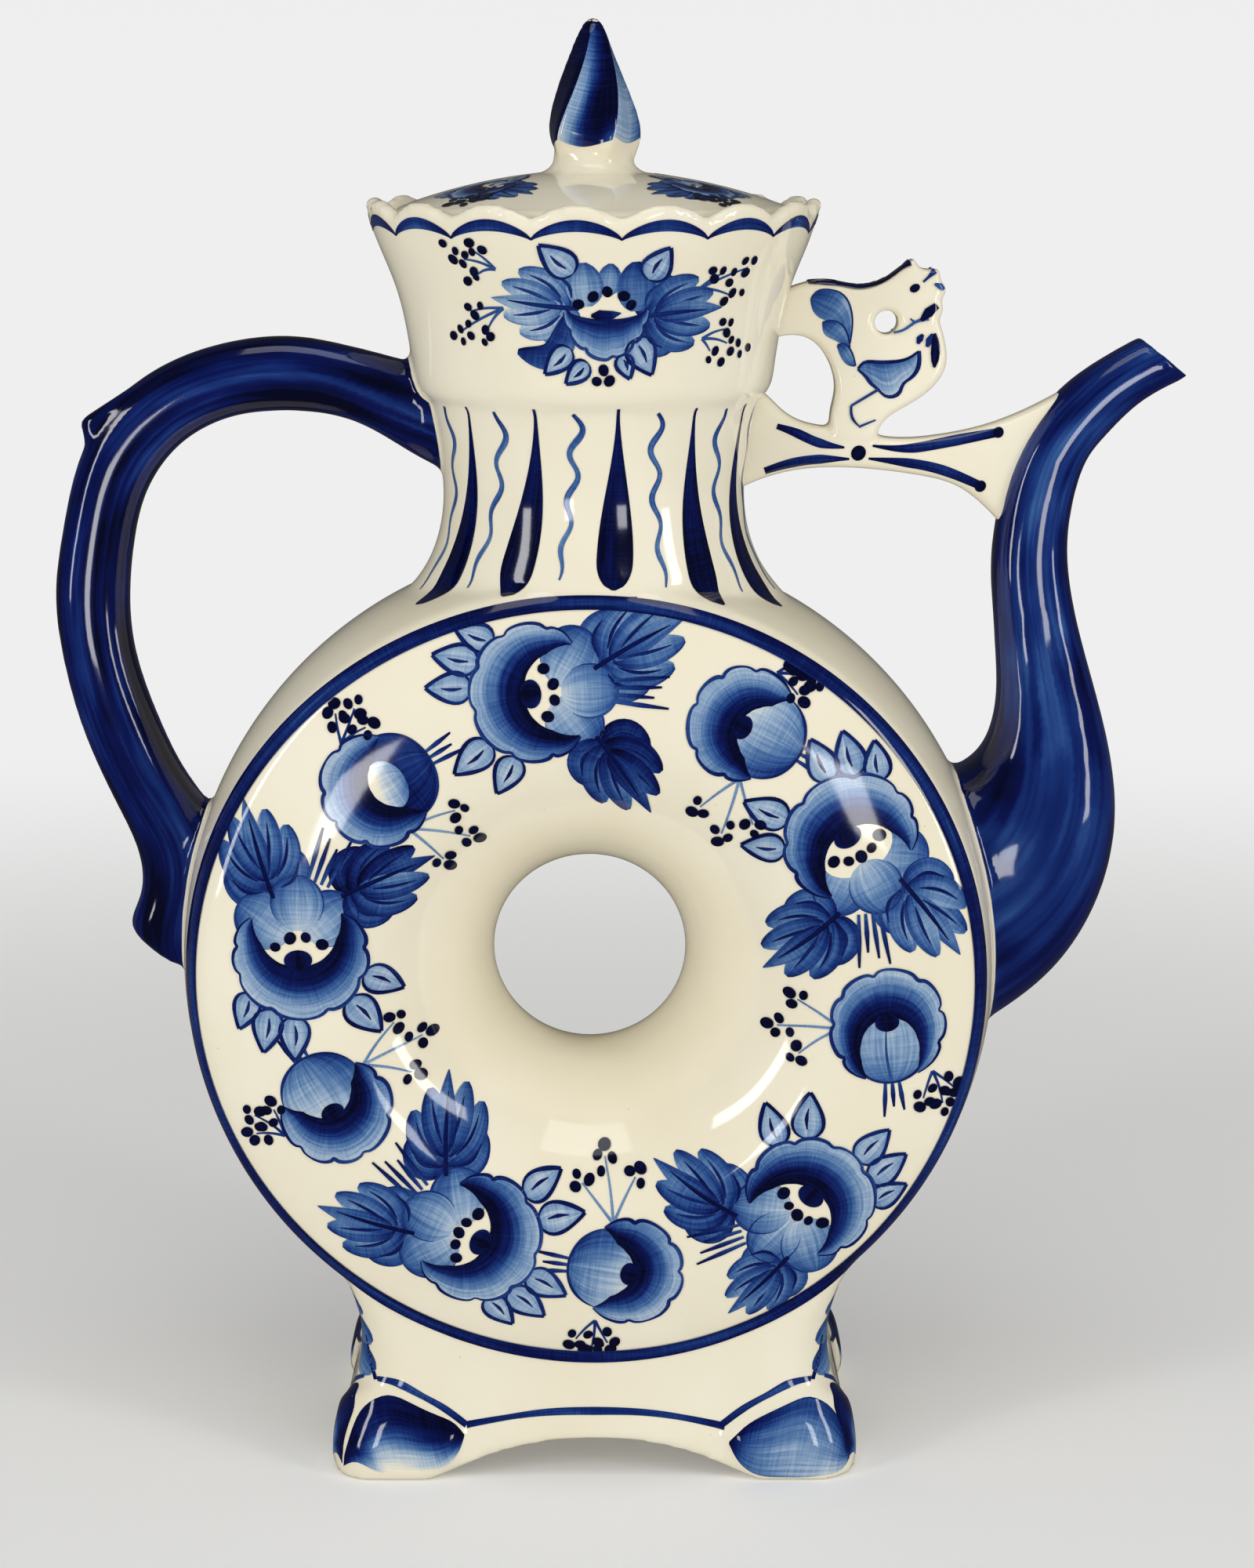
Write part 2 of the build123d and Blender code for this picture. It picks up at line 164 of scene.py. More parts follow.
# %% [markdown]
# ## The ring
# The body is a hollow ring, cast in two halves. Its section is a flat drum whose faces swell to
# a crest and then flow into the hole, like a trumpet's bell. A section turned about the Y axis
# gives both faces at once. The outer edge is a real corner, softened for three millimetres.

# %% Ring
RING_X, RING_Z = AXIS_X - 1.2, 120.0
# the hole's radius, then radius and depth of the crest, of the edge and of the rim's middle
THROAT, CREST, EDGE, RIM = 23.2, (62.0, -43.0), (92.0, -37.5), (97.5, 0.0)
EDGE_SOFTNESS = 3.2


def ring_section():
    """Half of the ring's section as radius and depth, from the hole to the widest place."""
    reach = CREST[0] - THROAT
    bell = bezier((THROAT, 0), (THROAT, 0.32 * CREST[1]), (THROAT + 0.45 * reach, CREST[1]), CREST, 60)
    face = arc_from(CREST, (1, 0), EDGE, 40)
    side = arc_from(RIM, (0, -1), EDGE, 60)[::-1]
    face = face[np.linalg.norm(face - EDGE, axis=1) > EDGE_SOFTNESS]
    side = side[np.linalg.norm(side - EDGE, axis=1) > EDGE_SOFTNESS]
    corner = bezier(face[-1], (EDGE + face[-1]) / 2, (EDGE + side[0]) / 2, side[0], 9)
    return np.vstack([bell[:-1], face[:-1], corner, side[1:]])


def ring_form():
    """The ring, as its whole section turned about the Y axis."""
    half = ring_section()
    section = evenly(np.vstack([half, (half * [1, -1])[-2:0:-1]]), 200, closed=True)
    turns = np.linspace(0, 2 * pi, 300, endpoint=False)
    reach, depth = section.T
    rows = [np.column_stack([RING_X + reach * cos(t), depth, RING_Z + reach * sin(t)]) for t in turns]
    return surface("ring", rows, loop=True)


# %% [markdown]
# ## Neck and collar
# The neck rises out of the ring as an oval and turns round. A small ledge carries the flared
# collar, whose edge is cut into sixteen scallops with sharp valleys and round tops. The wall is
# one closed loop of points for each direction around the axis: up the outside, over the lip,
# down the inside and around the seat for the lid.

# %% Neck and collar
NECK = [  # height, half width and half depth
    (198, 51.5, 36.8), (205, 46.2, 37), (212, 40.6, 36.8), (220, 37, 36.2),
    (230, 35.5, 35.5), (242, 36.6, 36.6), (253, 38.6, 38.6),
]
WALL, COLLAR_WALL = 4.5, 4.2
LIP_HEIGHT = 297.2  # where the collar's sides end and its round lip begins
COLLAR = [(260.0, 42.4), (268.0, 43.6), (279.5, 46.4), (289.5, 50.4), (299.3, 53.4)]
SCALLOPS, SCALLOP_DEPTH, SCALLOP_PHASE = 16, 3.3, radians(7.5 - 90)
SEAT_TOP, SEAT_UNDER, SEAT_BORE = 292.0, 288.4, 38.2


def both(radius_rows):
    """Rows of height and radius as height, half width and half depth."""
    rows = np.asarray(radius_rows, float)
    return np.column_stack([rows, rows[:, 1]])


def collar_radius(height, inset=0.0):
    """The collar's outer radius at a height, less an inset."""
    side = curve_through(COLLAR, 80)
    return np.interp(height, side[:, 0], side[:, 1]) - inset


# %% Vessel
def vessel_form():
    """Neck, collar and seat as one skin, with the scallops cut into the collar's edge."""
    neck = curve_through(NECK, 46)
    ledge = bezier(NECK[-1][:2], (253.6, 41.4), (256.6, 42.1), COLLAR[0], 10)[1:-1]
    heights = np.linspace(COLLAR[0][0], LIP_HEIGHT, 36)
    outside = np.column_stack([heights, collar_radius(heights)])
    half = COLLAR_WALL / 2
    middle = collar_radius(COLLAR[-1][0], half)
    lip = [(LIP_HEIGHT + half * sin(a), middle + half * cos(a)) for a in np.linspace(0.15, pi - 0.15, 9)]
    down = np.linspace(LIP_HEIGHT, SEAT_TOP + 0.6, 6)
    inside = np.column_stack([down, collar_radius(down, COLLAR_WALL)])
    seat = [(SEAT_TOP, 45.0), (SEAT_TOP, SEAT_BORE + 0.4), (SEAT_TOP - 0.5, SEAT_BORE),
        (SEAT_UNDER, SEAT_BORE), (SEAT_UNDER, 44.6)]
    down = np.linspace(SEAT_UNDER - 1.5, COLLAR[0][0], 16)
    below = np.column_stack([down, collar_radius(down, COLLAR_WALL)])
    throat = curve_through(NECK, 30)[::-1] - [0, WALL, WALL]
    rows = [neck, both(ledge), both(outside), both(lip), both(inside), both(seat), both(below), throat]
    outer = sum(len(part) for part in rows[:4])
    rows = np.vstack(rows)
    turns = np.linspace(0, 2 * pi, 320, endpoint=False)
    phase = (turns - SCALLOP_PHASE) * SCALLOPS / (2 * pi)
    notch = (1 - 2 * np.abs(phase - np.floor(phase + 0.5))) ** 2  # 1 in a valley, 0 on a scallop's top
    result = []
    for index, (height, wide, deep) in enumerate(rows):
        share = smooth_step(height, 286, 298) if index < outer else smooth_step(height, 292.6, LIP_HEIGHT)
        dip = notch * share
        tuck = 0.9 * dip if index < outer else 0 * dip
        x, y = (wide - tuck) * np.cos(turns), (deep - tuck) * np.sin(turns)
        result.append(np.column_stack([AXIS_X + x, y, height - SCALLOP_DEPTH * dip]))
    return surface("vessel", result, loop=True)


# %% [markdown]
# ## Pedestal and feet
# The base is a hollow flared box with round corners. Each side has a low arch between two feet,
# and each foot is a panel that stands a little proud of the base. Every column of the grid starts
# at the arch's height, and the panels are pushed out by a soft step, so no boolean is needed.

# %% Pedestal
PEDESTAL = [  # height, half width, half depth and the corner's radius
    (0, 60.6, 42.4, 10), (6, 61, 42, 10), (13, 59.8, 40.6, 11), (22, 57, 38.6, 12),
    (33, 55.8, 37.3, 10), (42, 57.6, 37, 8), (50, 61.2, 36.8, 6), (60, 68.6, 36.4, 5),
]
ARCH_HEIGHT, FOOT_PROUD = 9.4, 1.8
FRONT_PANEL = [(38.0, 0.0), (33.0, 4.0), (30.5, 12.0), (52.0, 21.0), (70.0, 23.0)]
SIDE_PANEL = [(24.0, 0.0), (20.0, 4.0), (18.0, 12.0), (36.0, 21.0), (55.0, 23.0)]


def round_box(half_width, half_depth, corner, count):
    """Rectangle with round corners, evenly spaced from the middle of the right side."""
    points = []
    for centre_x, centre_y, first in ((1, 1, 0), (-1, 1, 90), (-1, -1, 180), (1, -1, 270)):
        for angle in np.radians(np.linspace(first, first + 90, 12)):
            points.append((centre_x * (half_width - corner) + corner * cos(angle),
                centre_y * (half_depth - corner) + corner * sin(angle)))
    return evenly([(half_width, 0.0), *points], count, closed=True)


def arch_height(across, half_span):
    """Height of the underside between two feet, an arc of a circle."""
    radius = (half_span**2 + ARCH_HEIGHT**2) / (2 * ARCH_HEIGHT)
    inside = np.abs(across) < half_span
    return np.where(inside, np.sqrt(np.maximum(radius**2 - across**2, 0)) - radius + ARCH_HEIGHT, 0)


def inside_panel(across, height, outline):
    """Distance inside a foot's panel, in millimetres, negative outside it."""
    depth = np.full(np.shape(across), 99.0)
    for (x1, z1), (x2, z2) in zip(outline, outline[1:]):
        length = np.hypot(x2 - x1, z2 - z1)
        depth = np.minimum(depth, ((x2 - x1) * (height - z1) - (z2 - z1) * (across - x1)) / -length)
    return depth


# %% Pedestal's skin
def pedestal_form():
    """The hollow base with its arches and the four feet that stand proud of it."""
    columns, top = 360, PEDESTAL[-1][0]
    base = round_box(*PEDESTAL[0][1:], columns)
    wide, deep = PEDESTAL[0][1] - 6, PEDESTAL[0][2] - 6
    foot = np.maximum(
        np.where(np.abs(base[:, 1]) > deep, arch_height(base[:, 0], FRONT_PANEL[0][0]), 0),
        np.where(np.abs(base[:, 0]) > wide, arch_height(base[:, 1], SIDE_PANEL[0][0]), 0),
    )
    sections = curve_through(PEDESTAL, 121)
    grids = {
        grow: np.array([round_box(a + grow, b + grow, r + grow / 2, columns) for _, a, b, r in sections])
        for grow in (0, FOOT_PROUD, -WALL)
    }
    result = []
    for share in np.linspace(0, 1, 56):
        height = foot + (top - foot) * share
        row = np.clip(np.searchsorted(sections[:, 0], height), 0, len(sections) - 1)
        plain, proud = (grids[grow][row, np.arange(columns)] for grow in (0, FOOT_PROUD))
        across, sideways = np.abs(plain[:, 0]), np.abs(plain[:, 1])
        inside = np.minimum(inside_panel(across, height, FRONT_PANEL),
            inside_panel(sideways, height, SIDE_PANEL))
        step = smooth_step(inside, -0.6, 1.2)[:, None]
        point = plain + (proud - plain) * step
        result.append(np.column_stack([AXIS_X + point[:, 0], point[:, 1], height]))
    for share in np.linspace(1, 0, 30):
        height = foot + (top - foot) * share
        row = np.clip(np.searchsorted(sections[:, 0], height), 0, len(sections) - 1)
        point = grids[-WALL][row, np.arange(columns)]
        result.append(np.column_stack([AXIS_X + point[:, 0], point[:, 1], height]))
    return surface("pedestal", result, loop=True)


# %% [markdown]
# ## Spout and handle
# Both are drawn in the pot's middle plane as pairs of points, one on each edge, with a half
# depth. A soft-cornered oval spans each pair. The spout's rows go up the outside, over the lip
# and back down its bore. The handle carries a small spur at its corner.

# %% Spout and handle
SPOUT = [  # x and height of two facing points on its edges, and its half depth
    (84, 162.5, 90, 99.5, 21), (90.2, 165.8, 110.6, 115.2, 20), (93.4, 169.5, 120.8, 131.5, 17.8),
    (95.4, 174.8, 125, 149.5, 15.4), (96.3, 181.5, 123.9, 166, 13.2), (96, 190.5, 119.4, 184, 11.2),
    (95, 203, 114.6, 201, 9.8), (94.4, 214, 112.4, 214, 9.1), (95.8, 227, 112.9, 226, 8.7),
    (100, 240.5, 116, 237.5, 8.4), (107.2, 251.8, 120.4, 243.6, 8.1), (117.2, 260.4, 128.6, 251.6, 7.7),
    (128.2, 266.8, 139.6, 257.6, 7.4),
]
SPOUT_WALL, BORE_ROWS = 3.6, 30
HANDLE = [  # x and height of a point on its outer edge and of the one that faces it
    (-34, 258.5, -29, 233), (-46, 261.9, -41.7, 239), (-60, 265.4, -57, 247.4), (-74, 267.1, -74.5, 249.6),
    (-90, 264.6, -87, 247.6), (-106.6, 256.9, -97.8, 241.4), (-118.8, 243.6, -104.8, 232.4),
    (-125.6, 222, -109, 219),
    (-127.9, 205, -110.5, 203.6), (-126.2, 189, -109, 190.2), (-121.4, 171, -103.8, 174.6),
    (-114.6, 155, -97, 161),
    (-109.6, 142, -89, 147), (-110.2, 131.8, -89, 133), (-111.8, 124.6, -91, 121.4),
    (-105, 118.4, -94, 114.6),
]
HANDLE_HALF_DEPTH = 7.8
SPUR = [(-109.0, 255.0), (-120.6, 247.6), (-119.4, 241.4), (-107.0, 244.0)]
SQUARENESS = 2.6  # 2 is an oval, and more is nearer to a box


def oval_rows(stations, inset=0.0, around=72):
    """A soft-cornered section across each station of two edge points and a half depth."""
    angles = np.linspace(0, 2 * pi, around, endpoint=False)
    bulge = [np.sign(f) * np.abs(f) ** (2 / SQUARENESS) for f in (np.cos(angles), np.sin(angles))]
    rows = []
    for x1, z1, x2, z2, half_depth in stations:
        first, second = np.array([AXIS_X + x1, 0, z1]), np.array([AXIS_X + x2, 0, z2])
        half = (second - first) / 2
        half *= 1 - inset / np.linalg.norm(half)
        rows.append((first + second) / 2 + np.outer(bulge[0], half)
            + np.outer(bulge[1], [0, half_depth - inset, 0]))
    return rows


# %% Spout, handle and spur
STATIONS = {
    "spout": curve_through(SPOUT, 190),
    "handle": curve_through([(*row, HANDLE_HALF_DEPTH) for row in HANDLE], 260),
}


def spout_form():
    """The spout, up its outside and back down the bore."""
    stations = STATIONS["spout"]
    bore = oval_rows(stations[-BORE_ROWS:][::-1], SPOUT_WALL)
    return surface("spout", oval_rows(stations) + bore)


def handle_form():
    """The handle."""
    return surface("handle", oval_rows(STATIONS["handle"]))


def spur_form():
    """The small spur at the handle's corner."""
    outline = evenly(SPUR, 40, closed=True)
    middle, rows = outline.mean(axis=0), []
    for depth, share in ((-5.6, 0.86), (-4.4, 1.0), (4.4, 1.0), (5.6, 0.86)):
        x, z = (middle + (outline - middle) * share).T
        rows.append(np.column_stack([AXIS_X + x, np.full(40, depth), z]))
    return surface("spur", rows)


# %% [markdown]
# ## Lid
# The lid is a shallow dome with a thick rim, a skirt that keeps it in the mouth, and a bud to
# hold it by. The bud is a tall pyramid with five faces that is twisted a little as it rises, so
# its ridges lean. It is lofted from pentagons with round corners.

# %% Lid
LID_RADIUS, LID_TOP, DOME_RADIUS, DOME_WALL = 46.2, 305.4, 123.0, 4.0
SKIRT_OUTER, SKIRT_INNER, SKIRT_BOTTOM = 37.2, 33.5, 280.0
BUD = [(308.0, 9.3), (313.0, 10.9), (318.0, 10.3), (323.5, 8.5), (329.0, 6.4), (334.0, 4.4), (338.0, 2.5),
    (339.9, 0.9)]
BUD_SIDES, BUD_TWIST = 5, radians(7.0)


def turned(name, profile, around=200):
    """A pot turned on the wheel: a closed profile of radius and height, spun about the neck's axis."""
    angles = np.linspace(0, 2 * pi, around, endpoint=False)
    across, deep = np.cos(angles), np.sin(angles)
    rows = [np.column_stack([AXIS_X + r * across, r * deep, np.full(around, z)]) for r, z in profile]
    return surface(name, rows, loop=True)


def dome_height(radius, top=LID_TOP):
    """Height of the dome at a radius."""
    return top - radius**2 / (2 * DOME_RADIUS)


def dome_form():
    """The dome, its rim and its skirt, as one closed profile."""
    radii = np.linspace(0.05, LID_RADIUS - 2, 40)
    top = [(r, dome_height(r)) for r in radii]
    rim = [(LID_RADIUS - 2 + 2 * sin(a), dome_height(LID_RADIUS - 2) - 2 + 2 * cos(a))
        for a in np.linspace(0.2, pi / 2, 6)]
    edge = [(LID_RADIUS, SEAT_TOP + 1), (LID_RADIUS - 1, SEAT_TOP + 0.1)]
    skirt = [(SKIRT_OUTER, SEAT_TOP + 0.1), (SKIRT_OUTER, SKIRT_BOTTOM + 1),
        (SKIRT_OUTER - 1, SKIRT_BOTTOM), (SKIRT_INNER, SKIRT_BOTTOM)]
    under = [(r, dome_height(r, LID_TOP - DOME_WALL)) for r in np.linspace(SKIRT_INNER, 0.05, 30)]
    return turned("dome", [*top, *rim, *edge, *skirt, *under])


# %% Bud
def pentagon(half_width, around=100):
    """A five-sided section with round corners."""
    corners = [1.08 * half_width * np.array([cos(a), sin(a)]) for a in np.arange(BUD_SIDES) * 2 * pi
        / BUD_SIDES]
    points = []
    for i in range(BUD_SIDES):
        before, here, after = corners[i - 1], corners[i], corners[(i + 1) % BUD_SIDES]
        points += bezier(here + (before - here) * 0.26, here, here, here + (after - here) * 0.26, 8).tolist()
    return evenly(points, around, closed=True)


def bud_turn(height):
    """How far the bud has twisted at a height, in radians."""
    return np.interp(height, [z for z, _ in BUD], np.arange(len(BUD)) * BUD_TWIST)


def bud_form():
    """The twisted bud, a loft of pentagons."""
    rows = []
    for height, half_width in curve_through(BUD, 90):
        turn = bud_turn(height)
        flat = pentagon(max(half_width, 0.7)) @ np.array([[cos(turn), sin(turn)], [-sin(turn), cos(turn)]])
        rows.append(np.column_stack([AXIS_X + flat[:, 0], flat[:, 1], np.full(len(flat), height)]))
    return surface("bud", rows)


def waist_form():
    """The narrow waist between the dome and the bud."""
    side = bezier((9.3, 309.0), (8.7, 306.4), (10.4, 305.4), (13.4, 304.2), 14)
    return turned("waist", [(0.05, 309.0), *side, (13.4, 303.0), (0.05, 303.0)], 100)


# %% [markdown]
# ## Bridge and rooster
# The strut and the bird are one flat slab with soft edges, cut from a rolled sheet of clay. A
# filled 2D curve with a bevel makes such a slab, with a real hole for the eyelet.

# %% Outlines
BRIDGE_TOP = [
    (30, 258), (40.6, 253.4), (44.6, 249.6), (50.4, 246.7), (58, 245.6),
    (69.6, 243.4), (80.9, 243.9), (92, 246.2), (107, 252.6), (113, 256),
]
BRIDGE_BOTTOM = [
    (101, 218), (94.4, 225), (86, 231.8), (76, 234.6), (62, 236.2), (47, 235.6), (38, 233), (30, 229),
]
ROOSTER = [
    [(40, 276), (47.6, 279), (53.5, 280.1), (61.9, 278.8), (68.5, 280.5), (74.6, 285.4)],
    [(74.6, 285.4), (76.2, 283), (78.2, 282.6), (80.8, 282.7)],
    [(80.8, 282.7), (81, 280.2), (82.3, 277.8), (81.3, 275.6), (81.6, 274), (80.7, 271)],
    [(80.7, 271), (82.4, 265), (82.5, 260.4), (79.4, 255.2), (73.2, 250.8), (67.6, 246.6), (66, 241.5)],
    [(56, 243), (55.6, 248.6), (56.6, 254), (54.9, 261.6), (49.7, 266.9), (44, 267.2), (38, 265)],
]
EYELET, EYELET_RADIUS = (68.4, 270.4), 2.8


# %% Slabs
def slab_form(name, outlines, half_depth, rounding):
    """A flat piece in the pot's middle plane. The first outline is its edge and the others are holes."""
    curve = bpy.data.curves.new(name, "CURVE")
    curve.dimensions, curve.fill_mode = "2D", "BOTH"
    curve.extrude, curve.bevel_depth = (half_depth - rounding) * MM, rounding * MM
    curve.offset, curve.bevel_resolution = -rounding * MM, 4
    for outline in outlines:
        spline = curve.splines.new("POLY")
        spline.points.add(len(outline) - 1)
        for point, (x, z) in zip(spline.points, outline):
            point.co = ((AXIS_X + x) * MM, z * MM, 0, 1)
        spline.use_cyclic_u = True
    made = in_scene(name, curve)
    bpy.context.view_layer.update()
    mesh = bpy.data.meshes.new_from_object(made.evaluated_get(bpy.context.evaluated_depsgraph_get()))
    bpy.data.objects.remove(made)
    for vertex in mesh.vertices:
        x, z, y = vertex.co
        vertex.co = (x, y, z)
    return in_scene(name, mesh)


def bridge_form():
    """The strut between the neck and the spout."""
    outline = np.vstack([curve_through(BRIDGE_TOP, 90), curve_through(BRIDGE_BOTTOM, 80)])
    return slab_form("bridge", [outline], 4.3, 2.6)


def rooster_form():
    """The bird on the strut, with its eyelet."""
    outline = np.vstack([curve_through(part, 6 * len(part))[:-1] for part in ROOSTER])
    angles = np.linspace(0, 2 * pi, 24, endpoint=False)
    eyelet = np.column_stack([EYELET[0] + EYELET_RADIUS * np.cos(angles),
        EYELET[1] + EYELET_RADIUS * np.sin(angles)])
    return slab_form("rooster", [outline, eyelet], 4.6, 1.4)


# %% [markdown]
# ## Three glazed skins
# The parts of a real pot are stuck together with slip and sponged over, so every joint has a
# small fillet. A voxel remesh of the forms together does the same: it keeps only the common
# outer skin, and the smoothing rounds each joint. The grain is the voxel's size. The pot, the
# slab with the bird and the lid get a skin each, because each needs another grain.

# %% Skins
spout_guide, handle_guide, spur = spout_form(), handle_form(), spur_form()
white_forms = [ring_form(), vessel_form(), pedestal_form()]


# %% Search trees
def read(items, field, kind=float):
    """Three numbers of every vertex, normal or triangle of a mesh."""
    values = np.empty(len(items) * 3, kind)
    items.foreach_get(field, values)
    return values.reshape(-1, 3)


def tree_of(objects):
    """A search tree over the triangles of some objects, in millimetres, with its arrays."""
    points, triangles = [], []
    for thing in objects:
        mesh = thing.data
        mesh.calc_loop_triangles()
        triangles.append(read(mesh.loop_triangles, "vertices", np.int32) + sum(len(p) for p in points))
        points.append(read(mesh.vertices, "co") / MM)
    points, triangles = np.vstack(points), np.vstack(triangles)
    return BVHTree.FromPolygons(points.tolist(), triangles.tolist()), points, triangles


# %% Fusing
trees = {"white": tree_of(white_forms)[0], "spout": tree_of([spout_guide])[0],
    "handle": tree_of([handle_guide])[0]}
pot = fused("pot", [*white_forms, spout_guide, handle_guide, spur], grain=1.2, passes=8)
strut = fused("bridge_and_rooster", [bridge_form(), rooster_form()], grain=0.65, passes=6)
lid = fused("lid", [dome_form(), bud_form(), waist_form()], grain=0.8, passes=5)
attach(pot, "pot")
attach(strut, "pot")
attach(lid, "lid")
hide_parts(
    "ring_front", "ring_back", "neck", "collar", "pedestal", "foot_front_left", "foot_front_right",
    "foot_back_left", "foot_back_right", "spout_stem", "spout_beak", "handle",
)
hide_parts("bridge", "rooster")
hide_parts("lid_dome", "lid_skirt", "lid_bud")

# %% [markdown]
# ## Where the cobalt wash lies
# The handle and the spout are washed all over with cobalt. Each point of the pot's skin knows
# how much nearer it is to the handle or the spout than to the white body, in millimetres: where
# that number falls just below zero, the wash ends. Two more numbers run along and around the
# brush's path, for the streaks that the bristles leave.

# %% Wash
REACH_LIMIT = 12.0  # no wash is looked for further from spout and handle, in millimetres
AROUND = 8  # how much the path's second number grows for each radian around spout or handle


def wash_field(skin):
    """For each point of the skin: how far inside the wash it lies, and its place on the brush's path."""
    co = read(skin.data.vertices, "co") / MM
    reach, path = np.full(len(co), -9.0), np.zeros((len(co), 3))
    for index, (name, rows) in enumerate(STATIONS.items()):
        first, second = rows[:, 0:2] + [AXIS_X, 0], rows[:, 2:4] + [AXIS_X, 0]
        centre, across = (first + second) / 2, second - first
        across /= np.linalg.norm(across, axis=1)[:, None]
        along = np.concatenate([[0.0], np.cumsum(np.linalg.norm(np.diff(centre, axis=0), axis=1))])
        low, high = np.minimum(first, second).min(0) - 8, np.maximum(first, second).max(0) + 8
        inside = (co[:, [0, 2]] > low) & (co[:, [0, 2]] < high)
        near = np.flatnonzero(inside.all(axis=1))
        for i in near:
            point = Vector(co[i])
            own = trees[name].find_nearest(point, REACH_LIMIT)[3]
            if own is None:
                continue
            other = trees["white"].find_nearest(point, REACH_LIMIT)[3]
            reach[i] = (REACH_LIMIT if other is None else other) - own
        mine = near[reach[near] > -6]
        row = np.argmin(((co[mine][:, None, [0, 2]] - centre[None]) ** 2).sum(2), axis=1)
        offset = ((co[mine][:, [0, 2]] - centre[row]) * across[row]).sum(1)
        path[mine, 0] = along[row]
        path[mine, 1] = AROUND * np.arctan2(np.abs(co[mine, 1]), offset)
        path[mine, 2] = index
    return reach, path


def add_numbers(mesh, name, values):
    """Stores one number, or three, for each point of a mesh."""
    values = np.asarray(values, np.float32)
    kind, field = ("FLOAT", "value") if values.ndim == 1 else ("FLOAT_VECTOR", "vector")
    mesh.attributes.new(name, kind, "POINT").data.foreach_set(field, values.ravel())


reach, path = wash_field(pot)
add_numbers(pot.data, "reach", reach)
add_numbers(pot.data, "path", path)
print("washed points:", int((reach > 0).sum()))

# %% [markdown]
# ## Glaze and cobalt
# Glazed porcelain is a warm white body under a clear, very smooth glass: little roughness, an
# index of refraction of 1.5, and slow waves where the glaze ran. Cobalt is painted under the
# glaze, so it has the same shine. Its colour depends only on how much pigment the brush left,
# from a pale wash to nearly black, so one ramp from load to colour serves every stroke. The
# white body has faint clouds of two warm whites, and rare dark pin specks.

# %% Materials
def linear(hex_colour):
    """sRGB hex as linear red, green, blue and alpha."""
    parts = [int(hex_colour[i : i + 2], 16) / 255 for i in (1, 3, 5)]
    return [v / 12.92 if v <= 0.04045 else ((v + 0.055) / 1.055) ** 2.4 for v in parts] + [1.0]


def new_material(name):
    """An empty material with nodes."""
    material = bpy.data.materials.new(name)
    material.use_nodes = True
    material.node_tree.nodes.clear()
    return material


def node(owner, kind, links=None, values=None, stops=(), **settings):
    """Adds a node with its settings. links feed its inputs, values set them, and stops colour a ramp."""
    made = owner.node_tree.nodes.new(kind)
    for key, value in settings.items():
        setattr(made, key, value)
    for key, value in (values or {}).items():
        made.inputs[key].default_value = value
    for key, source in (links or {}).items():
        owner.node_tree.links.new(source, made.inputs[key])
    if stops:
        elements = made.color_ramp.elements
        while len(elements) < len(stops):
            elements.new(0.5)
        for element, (place, colour) in zip(elements, stops):
            element.position, element.color = place, linear(colour)
    return made


# %% Glaze
IVORY = "#efe7cf"
COBALT = [
    (0.00, IVORY), (0.14, "#bfcad2"), (0.28, "#8da6c3"), (0.42, "#587ba8"),
    (0.56, "#305490"), (0.70, "#142f70"), (0.84, "#061350"), (1.00, "#010320"),
]
PER_METRE = 1000.0  # a noise's scale is this over the size of its pattern in millimetres
GLAZE_WAVE, GLAZE_DIMPLE, CLOUD, SPECK_GAP = 25, 2.2, 45, 9


def glaze_finish(material, colour):
    """Clear glaze over a colour, with its slow waves and fine dimples."""
    place = node(material, "ShaderNodeNewGeometry").outputs["Position"]
    waves = node(material, "ShaderNodeTexNoise", {"Vector": place},
        {"Scale": PER_METRE / GLAZE_WAVE, "Detail": 1.0})
    dimples = node(material, "ShaderNodeTexNoise", {"Vector": place},
        {"Scale": PER_METRE / GLAZE_DIMPLE, "Detail": 1.0})
    slow = node(material, "ShaderNodeBump", {"Height": waves.outputs["Fac"]},
        {"Strength": 0.5, "Distance": 0.0006})
    fine = node(
        material, "ShaderNodeBump", {"Height": dimples.outputs["Fac"], "Normal": slow.outputs["Normal"]},
        {"Strength": 0.35, "Distance": 0.00001},
    )
    shader = node(
        material, "ShaderNodeBsdfPrincipled", {"Base Color": colour, "Normal": fine.outputs["Normal"]},
        {"Roughness": 0.07, "IOR": 1.5},
    )
    node(material, "ShaderNodeOutputMaterial", {"Surface": shader.outputs["BSDF"]})


def ivory_colour(material):
    """The white body, in faint clouds of two warm whites, with rare dark pin specks."""
    place = node(material, "ShaderNodeNewGeometry").outputs["Position"]
    cloud = node(material, "ShaderNodeTexNoise", {"Vector": place},
        {"Scale": PER_METRE / CLOUD, "Detail": 3.0})
    tones = [(0.35, "#ece4cb"), (0.65, "#f1ead5")]
    tone = node(material, "ShaderNodeValToRGB", {"Fac": cloud.outputs["Fac"]}, stops=tones)
    specks = node(material, "ShaderNodeTexVoronoi", {"Vector": place}, {"Scale": PER_METRE / SPECK_GAP})
    speck = node(material, "ShaderNodeMath", {0: specks.outputs["Distance"]}, {1: 0.022},
        operation="LESS_THAN")
    faint = node(material, "ShaderNodeMath", {0: speck.outputs[0]}, {1: 0.45}, operation="MULTIPLY")
    sides = {"Factor": faint.outputs[0], "A": tone.outputs["Color"]}
    specked = node(material, "ShaderNodeMix", sides, {"B": linear("#8d7f66")}, data_type="RGBA")
    return specked.outputs["Result"]


